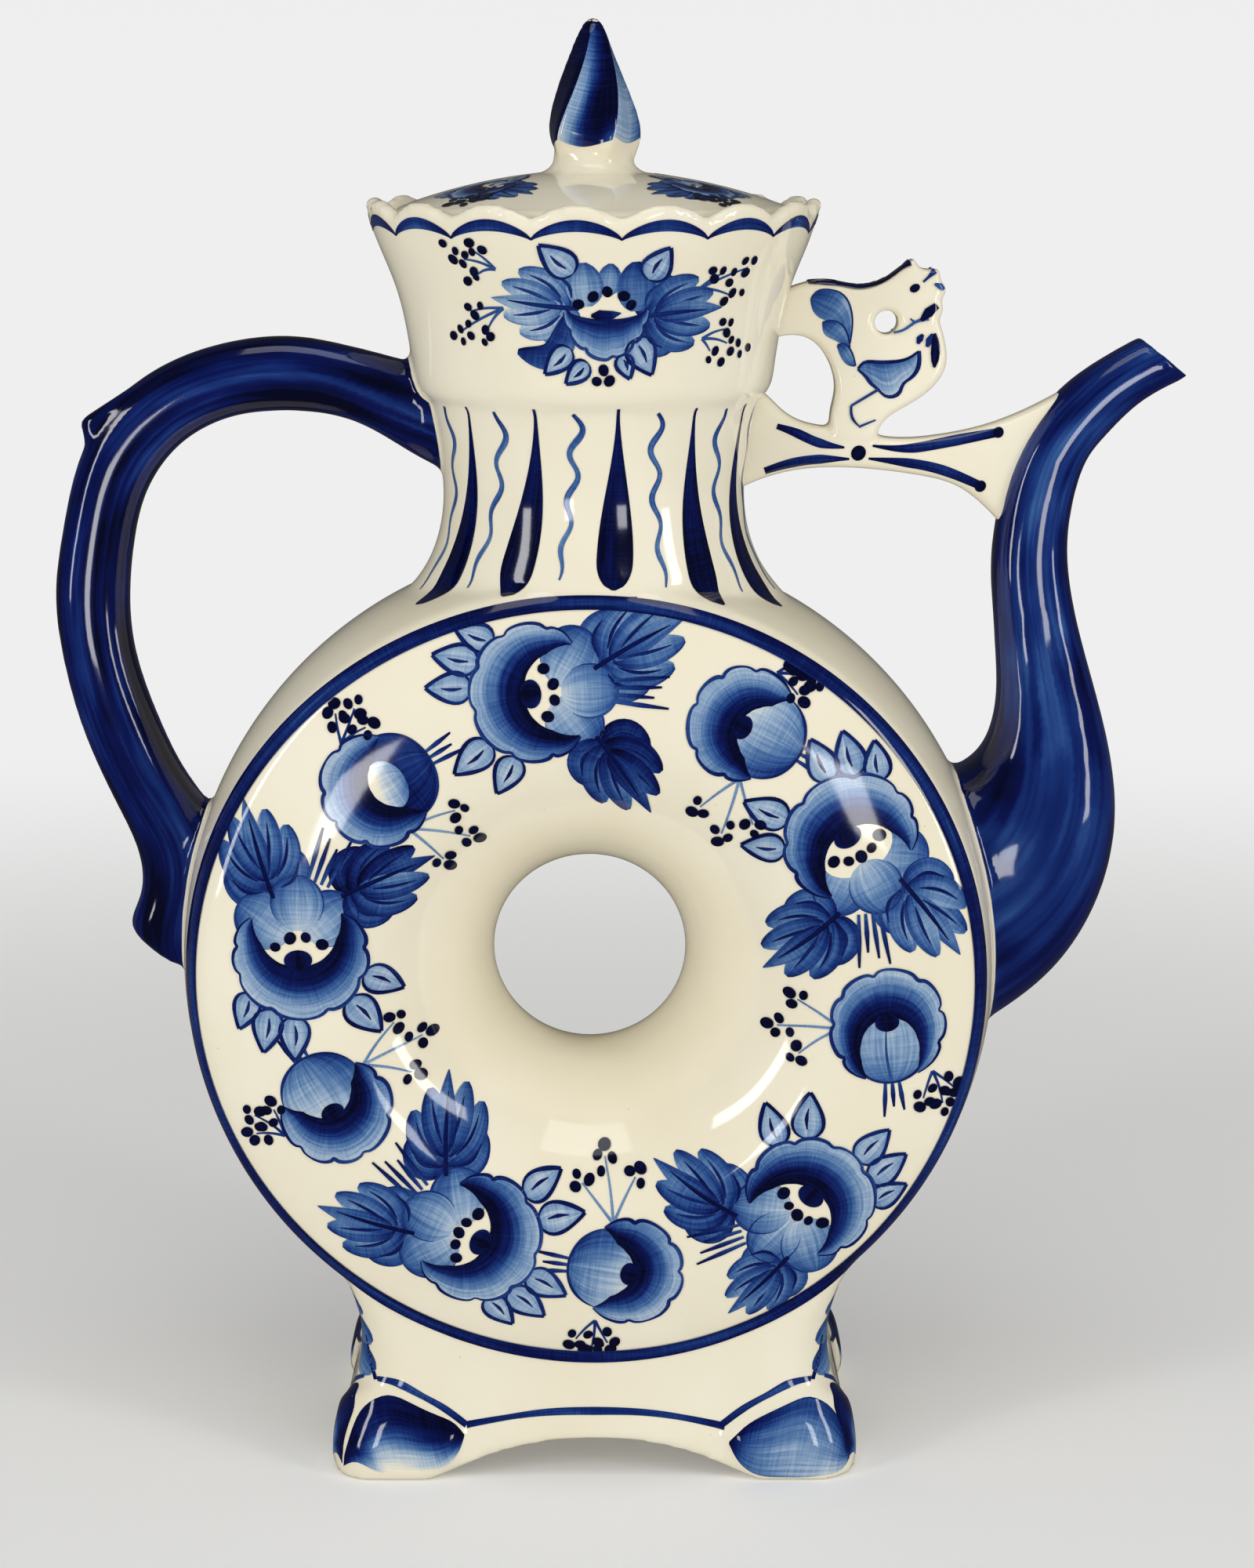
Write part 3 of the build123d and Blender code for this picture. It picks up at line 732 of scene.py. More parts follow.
def streaks(material, path, along, across, strength):
    """Bristle streaks: noise that is long along the brush's path and short across it, in millimetres."""
    stretched = node(
        material, "ShaderNodeVectorMath", {0: path}, {1: (1 / along, 1 / across, 7.3)}, operation="MULTIPLY"
    )
    noise = node(material, "ShaderNodeTexNoise", {"Vector": stretched.outputs[0]},
        {"Scale": 1.0, "Detail": 2.0})
    return node(
        material, "ShaderNodeMapRange", {"Value": noise.outputs["Fac"]},
        {"From Min": 0.25, "From Max": 0.75, "To Min": -strength, "To Max": strength},
    ).outputs["Result"]


CLAMPED_SUM = {"operation": "ADD", "use_clamp": True}

glaze = new_material("porcelain_under_clear_glaze")
glaze_finish(glaze, ivory_colour(glaze))

# %% [markdown]
# ## Brushed cobalt
# A brush leaves streaks along its path and a finer hatch across it, where its hairs skip. Both
# are noise on the load, so a thin place is paler and a thick one darker, as pigment is. A load
# of 0 is bare white clay, and stays free of streaks.

# %% Cobalt brushwork
brushwork = new_material("cobalt_brushwork_under_glaze")
drawn = node(brushwork, "ShaderNodeAttribute", attribute_name="path").outputs["Vector"]
pigment = node(brushwork, "ShaderNodeAttribute", attribute_name="load").outputs["Fac"]
load = pigment
for along, across, strength in ((14, 0.5, 0.09), (0.42, 7, 0.05)):
    hairs = streaks(brushwork, drawn, along, across, strength)
    load = node(brushwork, "ShaderNodeMath", {0: load, 1: hairs}, **CLAMPED_SUM).outputs[0]
painted = node(brushwork, "ShaderNodeMapRange", {"Value": pigment}, {"From Max": 0.12}).outputs["Result"]
load = node(brushwork, "ShaderNodeMath", {0: load, 1: painted}, operation="MULTIPLY").outputs[0]
glaze_finish(brushwork, node(brushwork, "ShaderNodeValToRGB", {"Fac": load}, stops=COBALT).outputs["Color"])
print("brushwork nodes:", len(brushwork.node_tree.nodes))

# %% [markdown]
# ## The wash on spout and handle
# A broad brush covers both. The wash is painted lighter along the middle of each broad face, a painted sheen
# where the light falls on it, and darker at the edges, painted shade where the faces turn away from the
# light. The pot's own skin carries this finish, and its reach decides between white clay and cobalt.

# %% Cobalt wash
washed = new_material("porcelain_with_cobalt_wash")
way = node(washed, "ShaderNodeAttribute", attribute_name="path").outputs["Vector"]
near = node(washed, "ShaderNodeAttribute", attribute_name="reach").outputs["Fac"]
pulls = {0: streaks(washed, way, 70, 1.3, 0.12), 1: streaks(washed, way, 28, 5.5, 0.17)}
pull = node(washed, "ShaderNodeMath", pulls, operation="ADD").outputs[0]
axes = node(washed, "ShaderNodeSeparateXYZ", {"Vector": way}).outputs
HALF_TURN = AROUND * pi / 2  # the path's second number in the middle of a broad face
# painted sheen and shade: the load drops along the middle of each broad face, so the face reads lighter where
# light falls on it, and keeps its full darkness at the edges, where the faces turn away
face = node(washed, "ShaderNodeMath", {0: axes["Y"]}, {1: HALF_TURN}, operation="PINGPONG").outputs[0]
depth = node(washed, "ShaderNodeMapRange", {"Value": axes["Z"]},
    {"To Min": 0.89, "To Max": 0.95}).outputs["Result"]
# how much lighter the painted sheen makes each face's middle: more on the spout than on the handle
face_sheen_strength = node(washed, "ShaderNodeMapRange", {"Value": axes["Z"]},
    {"To Min": -0.2, "To Max": -0.12}).outputs["Result"]
spread = {"From Min": 3.0, "From Max": HALF_TURN, "To Min": 0.0}
painted_face_sheen = node(washed, "ShaderNodeMapRange", {"Value": face, "To Max": face_sheen_strength}, spread).outputs["Result"]
wash = node(washed, "ShaderNodeMath", {0: depth, 1: painted_face_sheen}, operation="ADD").outputs[0]
wash = node(washed, "ShaderNodeMath", {0: wash, 1: pull}, **CLAMPED_SUM).outputs[0]
cobalt = node(washed, "ShaderNodeValToRGB", {"Fac": wash}, stops=COBALT).outputs["Color"]
here = node(washed, "ShaderNodeMapRange", {"Value": near},
    {"From Min": -0.5, "From Max": -0.1}).outputs["Result"]
sides = {"Factor": here, "A": ivory_colour(washed), "B": cobalt}
glaze_finish(washed, node(washed, "ShaderNodeMix", sides, data_type="RGBA").outputs["Result"])
print("wash nodes:", len(washed.node_tree.nodes))

pot.data.materials.append(washed)
strut.data.materials.append(glaze)
lid.data.materials.append(glaze)

# %% [markdown]
# ## A brush for curved clay
# Every stroke is drawn flat, in millimetres, as a wash between two curves. A sheet then lays its
# strokes on the pot: it casts a ray through each point, lands on the skin, and takes the skin's
# own normal, so paint and glaze shine as one. Each stroke keeps how much pigment it holds at each
# point, and where the point lies along and across the brush's path. Later strokes lie a few
# hundredths of a millimetre higher, because a painter works from the back petals to the dots.

# %% Brush
FAR = 200.0  # a sheet's rays start this far out, in millimetres
FIRST_LIFT, LAYER_LIFT, STROKE_LIFT = 0.06, 0.042, 0.0016  # how high paint lies on the skin, in millimetres


def values_along(row, places):
    """An evenly spread row of values, read at some places from 0 to 1."""
    return np.interp(places, np.linspace(0, 1, len(row)), row)


class Sheet:
    """A flat sheet of brush strokes and the way it is laid on a skin."""

    def __init__(self, name, skin, lay):
        self.name, self.skin, self.lay = name, skin, lay
        self.points, self.faces, self.loads, self.paths, self.lifts = [], [], [], [], []
        self.total, self.strokes = 0, 0

    def wash(self, low, high, load, layer=0, grain=1.0):
        """A wash between two curves. load is a table, with rows along the curves and columns across them."""
        low, high = np.asarray(low, float), np.asarray(high, float)
        steps = max(2, int(np.ceil(np.linalg.norm(high - low, axis=1).max() / grain)) + 1)
        share = np.linspace(0, 1, steps)[None, :, None]
        grid = low[:, None] * (1 - share) + high[:, None] * share
        wide = np.array([values_along(row, share[0, :, 0]) for row in load])
        marks = np.linspace(0, 1, len(low))
        held = np.column_stack([values_along(column, marks) for column in wide.T])
        middle = (low + high) / 2
        along = np.concatenate([[0.0], np.cumsum(np.linalg.norm(np.diff(middle, axis=0), axis=1))])
        breadth = np.linalg.norm(high - low, axis=1).mean()
        path = np.zeros((*grid.shape[:2], 3))
        path[..., 0], path[..., 1] = along[:, None], share[0, :, 0] * breadth
        path[..., 2] = self.strokes * 0.37
        rows, first = len(low), self.total
        for i in range(rows - 1):
            for j in range(steps - 1):
                corner = first + i * steps + j
                self.faces.append((corner, corner + 1, corner + steps + 1, corner + steps))
        self.points.append(grid.reshape(-1, 2))
        self.loads.append(held.ravel())
        self.paths.append(path.reshape(-1, 3))
        lift = FIRST_LIFT + LAYER_LIFT * layer + STROKE_LIFT * (self.strokes % 24)
        self.lifts.append(np.full(rows * steps, lift))
        self.total += rows * steps
        self.strokes += 1

    def stroke(self, points, widths, load=0.85, layer=2, across=(0.0, 0.0), count=None, grain=1.0):
        """A brush stroke along some points. widths are spread along it, and across shades its two sides."""
        points = np.asarray(points, float)
        length = np.linalg.norm(np.diff(points, axis=0), axis=1).sum()
        count = count or max(5, int(length) + 2)
        line = curve_through(points, count) if len(points) > 2 else np.linspace(points[0], points[1], count)
        heading = np.gradient(line, axis=0)
        heading /= np.linalg.norm(heading, axis=1)[:, None] + 1e-9
        side = np.column_stack([-heading[:, 1], heading[:, 0]])
        half = values_along(widths, np.linspace(0, 1, count))[:, None] / 2
        loads = np.atleast_1d(load)
        table = [[value + across[0], value, value + across[1]] for value in loads]
        self.wash(line - side * half, line + side * half, table, layer, grain)

    def dot(self, centre, radius, load=1.0, layer=4, stretch=1.0, turn=0.0):
        """A drop from the tip of the brush."""
        angles = np.linspace(0, pi, 9)
        curve = np.column_stack([np.cos(angles) * stretch, np.sin(angles)]) * radius
        mirror = curve * [1, -1]
        spin = np.array([[cos(turn), sin(turn)], [-sin(turn), cos(turn)]])
        centre = np.asarray(centre)
        self.wash(centre + curve @ spin, centre + mirror @ spin, [[load]], layer, grain=radius)

    def lay_down(self, body):
        """Casts the sheet onto the skin and makes the painted mesh."""
        tree, skin_points, triangles = tree_of([self.skin])
        normals = read(self.skin.data.vertex_normals, "vector")
        flat, lifts = np.vstack(self.points), np.concatenate(self.lifts)
        starts, ways = self.lay(flat)
        landed, hit = np.empty((len(flat), 3)), np.empty(len(flat), int)
        for i, (start, way) in enumerate(zip(starts, ways)):
            place, _, face, _ = tree.ray_cast(Vector(start), Vector(way))
            if place is None:
                place, _, face, _ = tree.find_nearest(Vector(start) + Vector(way) * FAR)
            landed[i], hit[i] = place, face
        corners = skin_points[triangles[hit]]
        edge1, edge2 = corners[:, 1] - corners[:, 0], corners[:, 2] - corners[:, 0]
        offset = landed - corners[:, 0]
        d11, d12, d22 = (edge1**2).sum(1), (edge1 * edge2).sum(1), (edge2**2).sum(1)
        p1, p2 = (offset * edge1).sum(1), (offset * edge2).sum(1)
        scale = np.maximum(d11 * d22 - d12**2, 1e-12)
        b, c = (d22 * p1 - d12 * p2) / scale, (d11 * p2 - d12 * p1) / scale
        weights = np.clip(np.column_stack([1 - b - c, b, c]), 0, 1)
        facing = (normals[triangles[hit]] * weights[:, :, None]).sum(1)
        facing /= np.linalg.norm(facing, axis=1)[:, None]
        placed = landed + facing * lifts[:, None]
        quads = np.array(self.faces)
        turn = np.cross(placed[quads[:, 2]] - placed[quads[:, 0]], placed[quads[:, 3]] - placed[quads[:, 1]])
        backwards = (turn * facing[quads[:, 0]]).sum(1) < 0
        quads[backwards] = quads[backwards][:, ::-1]
        made = mesh_object(self.name, placed, quads.tolist())
        add_numbers(made.data, "load", np.concatenate(self.loads))
        add_numbers(made.data, "path", np.vstack(self.paths))
        made.data.polygons.foreach_set("use_smooth", [True] * len(made.data.polygons))
        made.data.normals_split_custom_set_from_vertices(facing.tolist())
        made.data.materials.append(brushwork)
        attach(made, body)
        print(self.name, self.strokes, "strokes,", len(self.faces), "faces")


# %% [markdown]
# ## Ways to lay a sheet
# A flat face is painted straight on, so its rays are parallel. A neck is painted while the pot is
# turned, so its rays all point at the axis, and the sheet's width becomes a length around it.

# %% Rays
def straight_on(origin, across, up, way):
    """Parallel rays: origin is the sheet's (0, 0), across and up its directions, way the rays' own."""
    origin, across, up, way = (np.array(vector, float) for vector in (origin, across, up, way))
    def lay(flat):
        return origin + flat[:, :1] * across + flat[:, 1:] * up, np.tile(way, (len(flat), 1))
    return lay


def face_of_ring(side):
    """Lays a sheet on the ring's front (side -1) or back (side 1), seen from outside."""
    return straight_on((RING_X, side * FAR, RING_Z), (-side, 0, 0), (0, 0, 1), (0, -side, 0))


def middle_plane(side):
    """Lays a sheet drawn in the side view onto the front or the back of a flat piece."""
    return straight_on((AXIS_X, side * FAR, 0), (1, 0, 0), (0, 0, 1), (0, -side, 0))


def side_plane(side):
    """Lays a sheet on the left (side -1) or right end of the pedestal: depth and height."""
    return straight_on((side * FAR, 0, 0), (0, 1, 0), (0, 0, 1), (-side, 0, 0))


def around_axis(radius, centre_turn=0.0):
    """Rolls a sheet round the neck's axis: across in millimetres at that radius, and height."""
    def lay(flat):
        turn = flat[:, 0] / radius + centre_turn
        outward = np.column_stack([np.sin(turn), -np.cos(turn), np.zeros(len(flat))])
        middle = np.column_stack([np.full(len(flat), AXIS_X), np.zeros(len(flat)), flat[:, 1]])
        return outward * FAR + middle, -outward
    return lay


from_above = straight_on((AXIS_X, 0, 2 * FAR), (1, 0, 0), (0, 1, 0), (0, 0, -1))


# %% [markdown]
# ## The gzhel rose
# The village painters build a rose from loaded strokes. Three round petals come first, around a
# white eye. A wide bowl of a petal is then swept around the open side with a brush that carries
# much pigment on one edge, so it is nearly black at the eye and pale at its scalloped edge. A
# thin line follows the edge, and the eye gets a dark spot and a row of dots. All lengths are in
# millimetres, and the eye is the origin.

# %% Rose
def turned_to(angle, centre, size=1.0):
    """Moves points drawn about the origin to a place, turned and sized."""
    spin = np.array([[cos(angle), sin(angle)], [-sin(angle), cos(angle)]]) * size
    return lambda points: np.asarray(points, float) @ spin + np.asarray(centre, float)


def polar(angles, radii):
    """Points from their angles and radii."""
    return np.column_stack([np.cos(angles) * radii, np.sin(angles) * radii])


def oval(sheet, place, centre, half_x, half_y, loads, layer):
    """A filled oval whose wash runs from its +x end to its -x end."""
    angles = np.linspace(0.02, pi - 0.02, 15)
    ring = np.column_stack([half_x * np.cos(angles), half_y * np.sin(angles)])
    sheet.wash(place(ring * [1, -1] + centre), place(ring + centre), loads, layer, grain=0.9)


def round_petal(sheet, place, angle, distance, radius, loads, layer):
    """A round petal from near the eye outwards, with a thin line along its far edge."""
    angles = np.linspace(0.05, pi - 0.05, 19)
    base = turned_to(radians(180 + angle), distance * np.array([-cos(radians(angle)), -sin(radians(angle))]))
    ring = [np.column_stack([-np.cos(angles), s * np.sin(angles)]) * radius * [1.06, 1.0] for s in (-1, 1)]
    right, left = (place(base(side)) for side in ring)
    sheet.wash(right, left, loads, layer, grain=0.9)
    sheet.stroke(np.vstack([right[5:], left[:4:-1]]), [0.1, 0.5, 0.35, 0.55, 0.1], 0.68, layer + 0.35)


def scallops(degree, notches, depth):
    """How far the edge of a petal is drawn in, a sharp cusp at each notch and a soft bulge between."""
    nearest = np.abs(degree[:, None] - np.asarray(notches, float)[None, :]).min(axis=1)
    return depth * np.exp(-nearest / 4.5) - 0.25 * depth


def bowl(sheet, place, outer, inner, tip, notches, table, lean):
    """The swept petal. outer and inner are its radii against degrees, and tip is how far its ends reach."""
    degree = np.linspace(-tip, tip, 91)
    edge = np.interp(np.abs(degree), *outer) - scallops(degree, notches, 1.25)
    near = np.interp(np.abs(degree), *inner)
    near, edge = np.minimum(near, edge - 0.05), np.maximum(edge, near + 0.05)
    angles = np.radians(degree)
    rows = np.linspace(-1, 1, 9)[:, None]
    weight = np.interp(np.linspace(0, 1, len(table)), [0, 0.3, 0.7, 1], [0.2, 1, 1, 0.5])
    ends = 0.42 * np.abs(rows) ** 5 * np.linspace(0, 1, len(table))
    loads = np.clip(np.asarray(table) + lean * rows * weight + ends, 0.1, 1)
    calm = near + 0.72 * (np.interp(np.abs(degree), *outer) - near)  # the cusps bend only the outer part
    sheet.wash(place(polar(angles, near)), place(polar(angles, calm)), loads[:, :6], 3, grain=0.9)
    sheet.wash(place(polar(angles, calm)), place(polar(angles, np.maximum(edge, calm))), loads[:, 5:], 3,
        grain=0.9)
    sheet.stroke(place(polar(angles, edge)), [0.2, 0.8, 0.45, 1.0, 0.55, 0.95, 0.7, 1.0, 0.2],
        [0.9, 0.74, 0.66, 0.72, 0.9], 4, count=130)


# %% Large rose
LARGE_BOWL = ([0, 30, 60, 90, 108, 120], [18.6, 18.4, 17.4, 15.6, 14.0, 12.4])
LARGE_EYE = ([0, 30, 60, 90, 120], [6.0, 6.3, 7.4, 8.9, 12.2])
SMALL_BOWL = ([0, 40, 70, 95, 112], [16.2, 15.6, 14.2, 12.4, 11.0])
SMALL_EYE = ([0, 40, 70, 95, 112], [4.2, 4.6, 5.4, 6.8, 10.9])
BOWL_TABLE = [0.98, 0.95, 0.87, 0.72, 0.54, 0.40, 0.30, 0.25]
PETAL_TABLE = [[0.16, 0.14, 0.24], [0.26, 0.22, 0.40], [0.44, 0.32, 0.54], [0.60, 0.46, 0.64],
    [0.70, 0.64, 0.76]]


def large_rose(sheet, eye, heading, size, dots, lean, seed):
    """A rose that opens towards heading, in degrees."""
    place = turned_to(radians(heading), eye, size)
    oval(sheet, place, (0.6, 0), 5.9, 9.0, [[0.0]], 0.2)
    for angle, distance, radius in ((-56, 9.3, 6.7), (54, 9.5, 6.9), (-3, 9.4, 6.3)):
        round_petal(sheet, place, angle, distance, radius, PETAL_TABLE, 0.6 if angle != -3 else 1.2)
    notches = np.array([-92, -60, -22, 14, 50, 84]) + 5 * np.sin(seed * 2.1 + np.arange(6) * 1.7)
    bowl(sheet, place, LARGE_BOWL, LARGE_EYE, 120, notches, BOWL_TABLE, lean)
    oval(sheet, place, (4.4, 0.6 * sin(seed)), 2.5, 3.4, [[0.9, 1.0, 0.92], [0.86, 0.95, 0.8]], 4.6)
    for k in range(dots):
        share = (k - (dots - 1) / 2) / ((dots - 1) / 2)
        spot = place([[-1.3 + 2.2 * share**2, (6.2 if dots > 4 else 5.6) * share]])[0]
        sheet.dot(spot, (1.3 + 0.2 * sin(3 * k + seed)) * size, 1.0, 5.2, 1.12, k)


# %% Small rose
# the far petal of a small rose from the eye outwards: a dark ring, a pale fade, or streaked blue
LOOP_TABLES = (
    [[0.95, 0.95, 0.95], [0.84, 0.95, 0.94], [0.66, 0.84, 0.9], [0.7, 0.7, 0.84], [0.78, 0.8, 0.86]],
    [[0, 0, 0.1], [0.04, 0.08, 0.34], [0.26, 0.3, 0.62], [0.46, 0.42, 0.74], [0.64, 0.6, 0.8]],
    [[0.5, 0.34, 0.6], [0.4, 0.22, 0.46], [0.36, 0.26, 0.4], [0.44, 0.4, 0.48], [0.66, 0.62, 0.7]],
)
EYE_FILL = [[0.0, 0.0, 0.0], [0.0, 0.04, 0.12], [0.24, 0.32, 0.42], [0.5, 0.54, 0.66]]
HOOD_BOWL = ([0, 40, 70, 100, 128, 148], [16.2, 15.6, 14.2, 13.0, 12.4, 11.6])
HOOD_EYE = ([0, 40, 70, 100, 128, 148], [4.4, 4.8, 5.6, 6.8, 8.8, 11.3])


def small_rose(sheet, eye, heading, size, lean, kind, seed):
    """A small rose. kind picks its far petal: 0 dark ring, 1 pale fade, 2 streaked under a hooded bowl."""
    place = turned_to(radians(heading), eye, size)
    oval(sheet, place, (-1.8, 0), 10.0, 11.2 - 0.7 * kind, LOOP_TABLES[kind], 0.6)
    if kind == 0:
        oval(sheet, place, (0.3, 0.4), 4.6, 6.2, EYE_FILL, 1.6)
    if kind == 2:
        sheet.stroke(place([(3, 0.4), (-5, 0.9), (-11.4, 0.2)]), [0.2, 0.6, 0.8], 0.62, 1.6)
    far_edge = polar(np.radians(np.linspace(96, 264, 26)), 1.0) * [9.9, 11.1 - 0.7 * kind] - [1.8, 0]
    sheet.stroke(place(far_edge), [0.1, 0.7, 0.5, 0.8, 0.1], 0.76, 2.2)
    notches = np.array([-66, -28, 6, 42, 78]) + 5 * np.sin(seed * 1.9 + np.arange(5) * 1.7)
    if kind == 2:
        bowl(sheet, place, HOOD_BOWL, HOOD_EYE, 148, [-104, *notches, 112], BOWL_TABLE, lean)
    else:
        bowl(sheet, place, SMALL_BOWL, SMALL_EYE, 112, notches, BOWL_TABLE, lean)
    if kind:
        oval(sheet, place, (3.3, 1.2 - 0.5 * seed), 2.2, 2.9, [[0.92, 1.0, 0.9]], 4.8)


# %% [markdown]
# ## Leaves, stems and berries
# A large leaf is a fan of seven broad strokes from one point. Each is dark along its back edge
# and has its own dark vein. A small leaf is pale, wide near its foot and darkly outlined.
# Berries are dots of thick pigment on thin, pale stems.

# %% Leaves and berries
def finger(sheet, line, width, loads, across, layer, pointed=False):
    """A broad stroke with a round end, or a pointed one."""
    share = np.linspace(0.02, 0.985, 16)
    profile = np.sin(pi * share ** (0.66 if pointed else 0.86)) ** (0.9 if pointed else 0.52)
    sheet.stroke(line, width * profile, loads, layer, across)


FINGERS = (  # the spine of each stroke on one side, in shares of the leaf's length, and its width
    (((0, 0), (0.04, 0.27), (0.33, 0.42)), 0.34),
    (((0.04, 0), (0.27, 0.25), (0.64, 0.38)), 0.34),
    (((0.12, 0), (0.48, 0.13), (0.86, 0.20)), 0.31),
)


def large_leaf(sheet, base, heading, length, depth=0.0, veins=0.9):
    """A fan of seven broad strokes with their veins."""
    place = turned_to(radians(heading), base, length)
    for side in (-1, 1):
        for index, (spine, width) in enumerate(FINGERS):
            across = (-0.12, 0.22) if side > 0 else (0.22, -0.12)
            loads = np.array([0.64, 0.47, 0.39, 0.42, 0.56]) + depth * (1.3 if side > 0 else 0.6)
            finger(sheet, place(np.array(spine) * [1, side]), width * length, loads, across,
                0.5 + 0.4 * index)
    finger(sheet, place([(0.16, 0), (0.6, 0.02), (1.02, 0.0)]), 0.25 * length,
        np.array([0.64, 0.50, 0.43, 0.54]) + depth, (0.14, -0.02), 1.9, True)
    for side in (-1, 1):
        for index, (spine, width) in enumerate(FINGERS):
            line = curve_through(np.array(spine) * [1, side], 12)[2:10]
            sheet.stroke(place(line), [0.25, 0.85, 0.7, 0.15], veins - 0.08, 2.4)
    sheet.stroke(place([(-0.1, 0.0), (0.3, 0.015), (0.8, 0.0)]), [1.0, 1.1, 0.9, 0.2], veins, 2.7)


def small_leaf(sheet, base, heading, length, breadth, outline=0.78, layer=1.5):
    """An outlined leaf, heart-shaped at its base and pointed at its tip."""
    place = turned_to(radians(heading), base)
    marks = np.linspace(0, 1, 18)
    half = breadth / 2 * np.sin(pi * marks**0.62) ** 0.85
    half[[0, -1]] = 0.04
    left, right = (place(np.column_stack([marks * length, s * half])) for s in (1, -1))
    sheet.wash(right, left, [[0.46, 0.34, 0.3, 0.42], [0.34, 0.24, 0.2, 0.34], [0.5, 0.36, 0.34, 0.46]],
        layer, grain=0.9)
    sheet.stroke(left, [0.25, 0.65, 0.85, 1.05, 0.8], outline, layer + 1.1)
    sheet.stroke(right, [0.25, 0.75, 1.0, 0.8, 0.9], outline + 0.05, layer + 1.2)
    sheet.stroke(place([(0.2 * length, 0.1), (0.42 * length, 0.4), (0.66 * length, 0.1)]),
        [0.3, 0.95, 0.2], outline, layer + 1.3)


def stems(sheet, start, heading, length, lines=4, layer=0.2):
    """Short parallel stems that point away from a rose."""
    place = turned_to(radians(heading), start)
    for k in range(lines):
        offset = (k - (lines - 1) / 2) * 2.0
        reach = length * (1 - 0.14 * ((k * 2) % 3))
        sheet.stroke(place([(-0.6, offset * 0.8), (reach * 0.5, offset), (reach, offset * 1.2)]),
            [0.7, 1.15, 0.5], [0.62, 0.76, 0.9], layer)


# %% Berries
def berry_sprig(sheet, base, tips, dots, stem, radius=1.15):
    """Thin stems from one base, and dots of thick pigment."""
    for k, tip in enumerate(tips):
        middle = (np.asarray(base) + tip) / 2 + [0.3 * sin(2 * k), 0.4]
        sheet.stroke([base, middle, tip], [0.75, 0.6, 0.4], stem, 0.3)
    for k, spot in enumerate(dots):
        sheet.dot(spot, radius * (1 + 0.16 * sin(4 * k)), 1.0, 4, 1.18, 1.3 * k)


LINE_INSIDE, LINE_OUTSIDE = 90.6, 93.7  # the ring's navy line


def line_drift(turns):
    """How far the navy line strays from its circle, because a hand drew it."""
    squash = 0.91 * np.cos(2 * turns + 0.38)
    return -1.1 - 0.74 * np.sin(turns + 0.49) + squash - 0.38 * np.cos(3 * turns + 0.26)


SPREAD = 32  # degrees between a sprig's stems, about
BERRIES = ((0.4, 1.7), (-0.6, -1.7), (2.2, -0.2), (-2.9, 1.3))  # along and beside the tip of a stem


def sprig(sheet, base, heading, reach, dark=False):
    """Three stems with their berries."""
    place = turned_to(radians(heading), base)
    tips, dots = [], []
    for k, angle in enumerate((-SPREAD, 3, SPREAD + 3)):
        way = np.array([cos(radians(angle)), sin(radians(angle))])
        tip = way * reach * (1.1 if k == 1 else 0.88)
        tips.append(place([tip])[0])
        for along, beside in BERRIES[: 4 if dark or k == 1 else 3]:
            spot = place([tip + along * way + beside * np.array([-way[1], way[0]])])[0]
            inside = LINE_INSIDE - 0.6 + line_drift(atan2(spot[1], spot[0]))
            dots.append(spot * min(1.0, inside / np.hypot(*spot)))  # no dot crosses the ring's line
    berry_sprig(sheet, base, tips, dots, 0.7 if dark else 0.38)


# %% [markdown]
# ## The wreath
# Ten roses go round the face, five large and five small, and each one opens anticlockwise
# towards the next. Behind each large rose lie two large leaves with stems between them. Small
# leaves stand at its open side, three outside and two inside. The small roses carry berries.
# A navy line runs along the ring's edge. The back is painted like the front.

# %% Wreath
# eye, heading, dots, where the far leaf, the near leaf and the stems point, length of the far leaf
LARGE_ROSES = (
    ((-8.6, 69.6), 185, 4, -156, 118, 176, 22),
    ((62, 32.6), 120, 5, -172, 102, 160, 21),
    ((49.6, -53.4), 50, 5, -184, 98, 152, 18),
    ((-29.2, -59), -26, 5, -169, 115, 160, 21),
    ((-66.6, 11.4), -86, 4, -167, 108, 157, 21),
)
SMALL_ROSES = (  # eye, heading, kind, and the foot and heading of the dark sprig and of the pale one
    ((-45.6, 48.6), 212, 0, (-72, -146), (81, 133)),
    ((38.4, 60.6), 152, 1, (-82, -166), (99, 99)),
    ((69.6, -11), 95, 2, (-136, -170), (76, 85)),
    ((6.4, -68), -8, 1, (-103, -92), (101, 103)),
    ((-60.4, -26.2), -58, 1, (-80, -158), (103, 75)),
)
# angle and distance from the eye, and length, of the small leaves behind a large rose
LEAF_SPOTS = ((-8, 17.8, 10.5), (-27, 17.6, 10.5), (-46, 16.8, 9.2), (36, 17.8, 11.0), (58, 16.8, 10.0))


def about(centre, heading):
    """A place from its angle and distance to a rose's eye, both in the rose's own frame."""
    def at(angle, distance):
        way = radians(heading + angle)
        return centre + distance * np.array([cos(way), sin(way)])
    return at


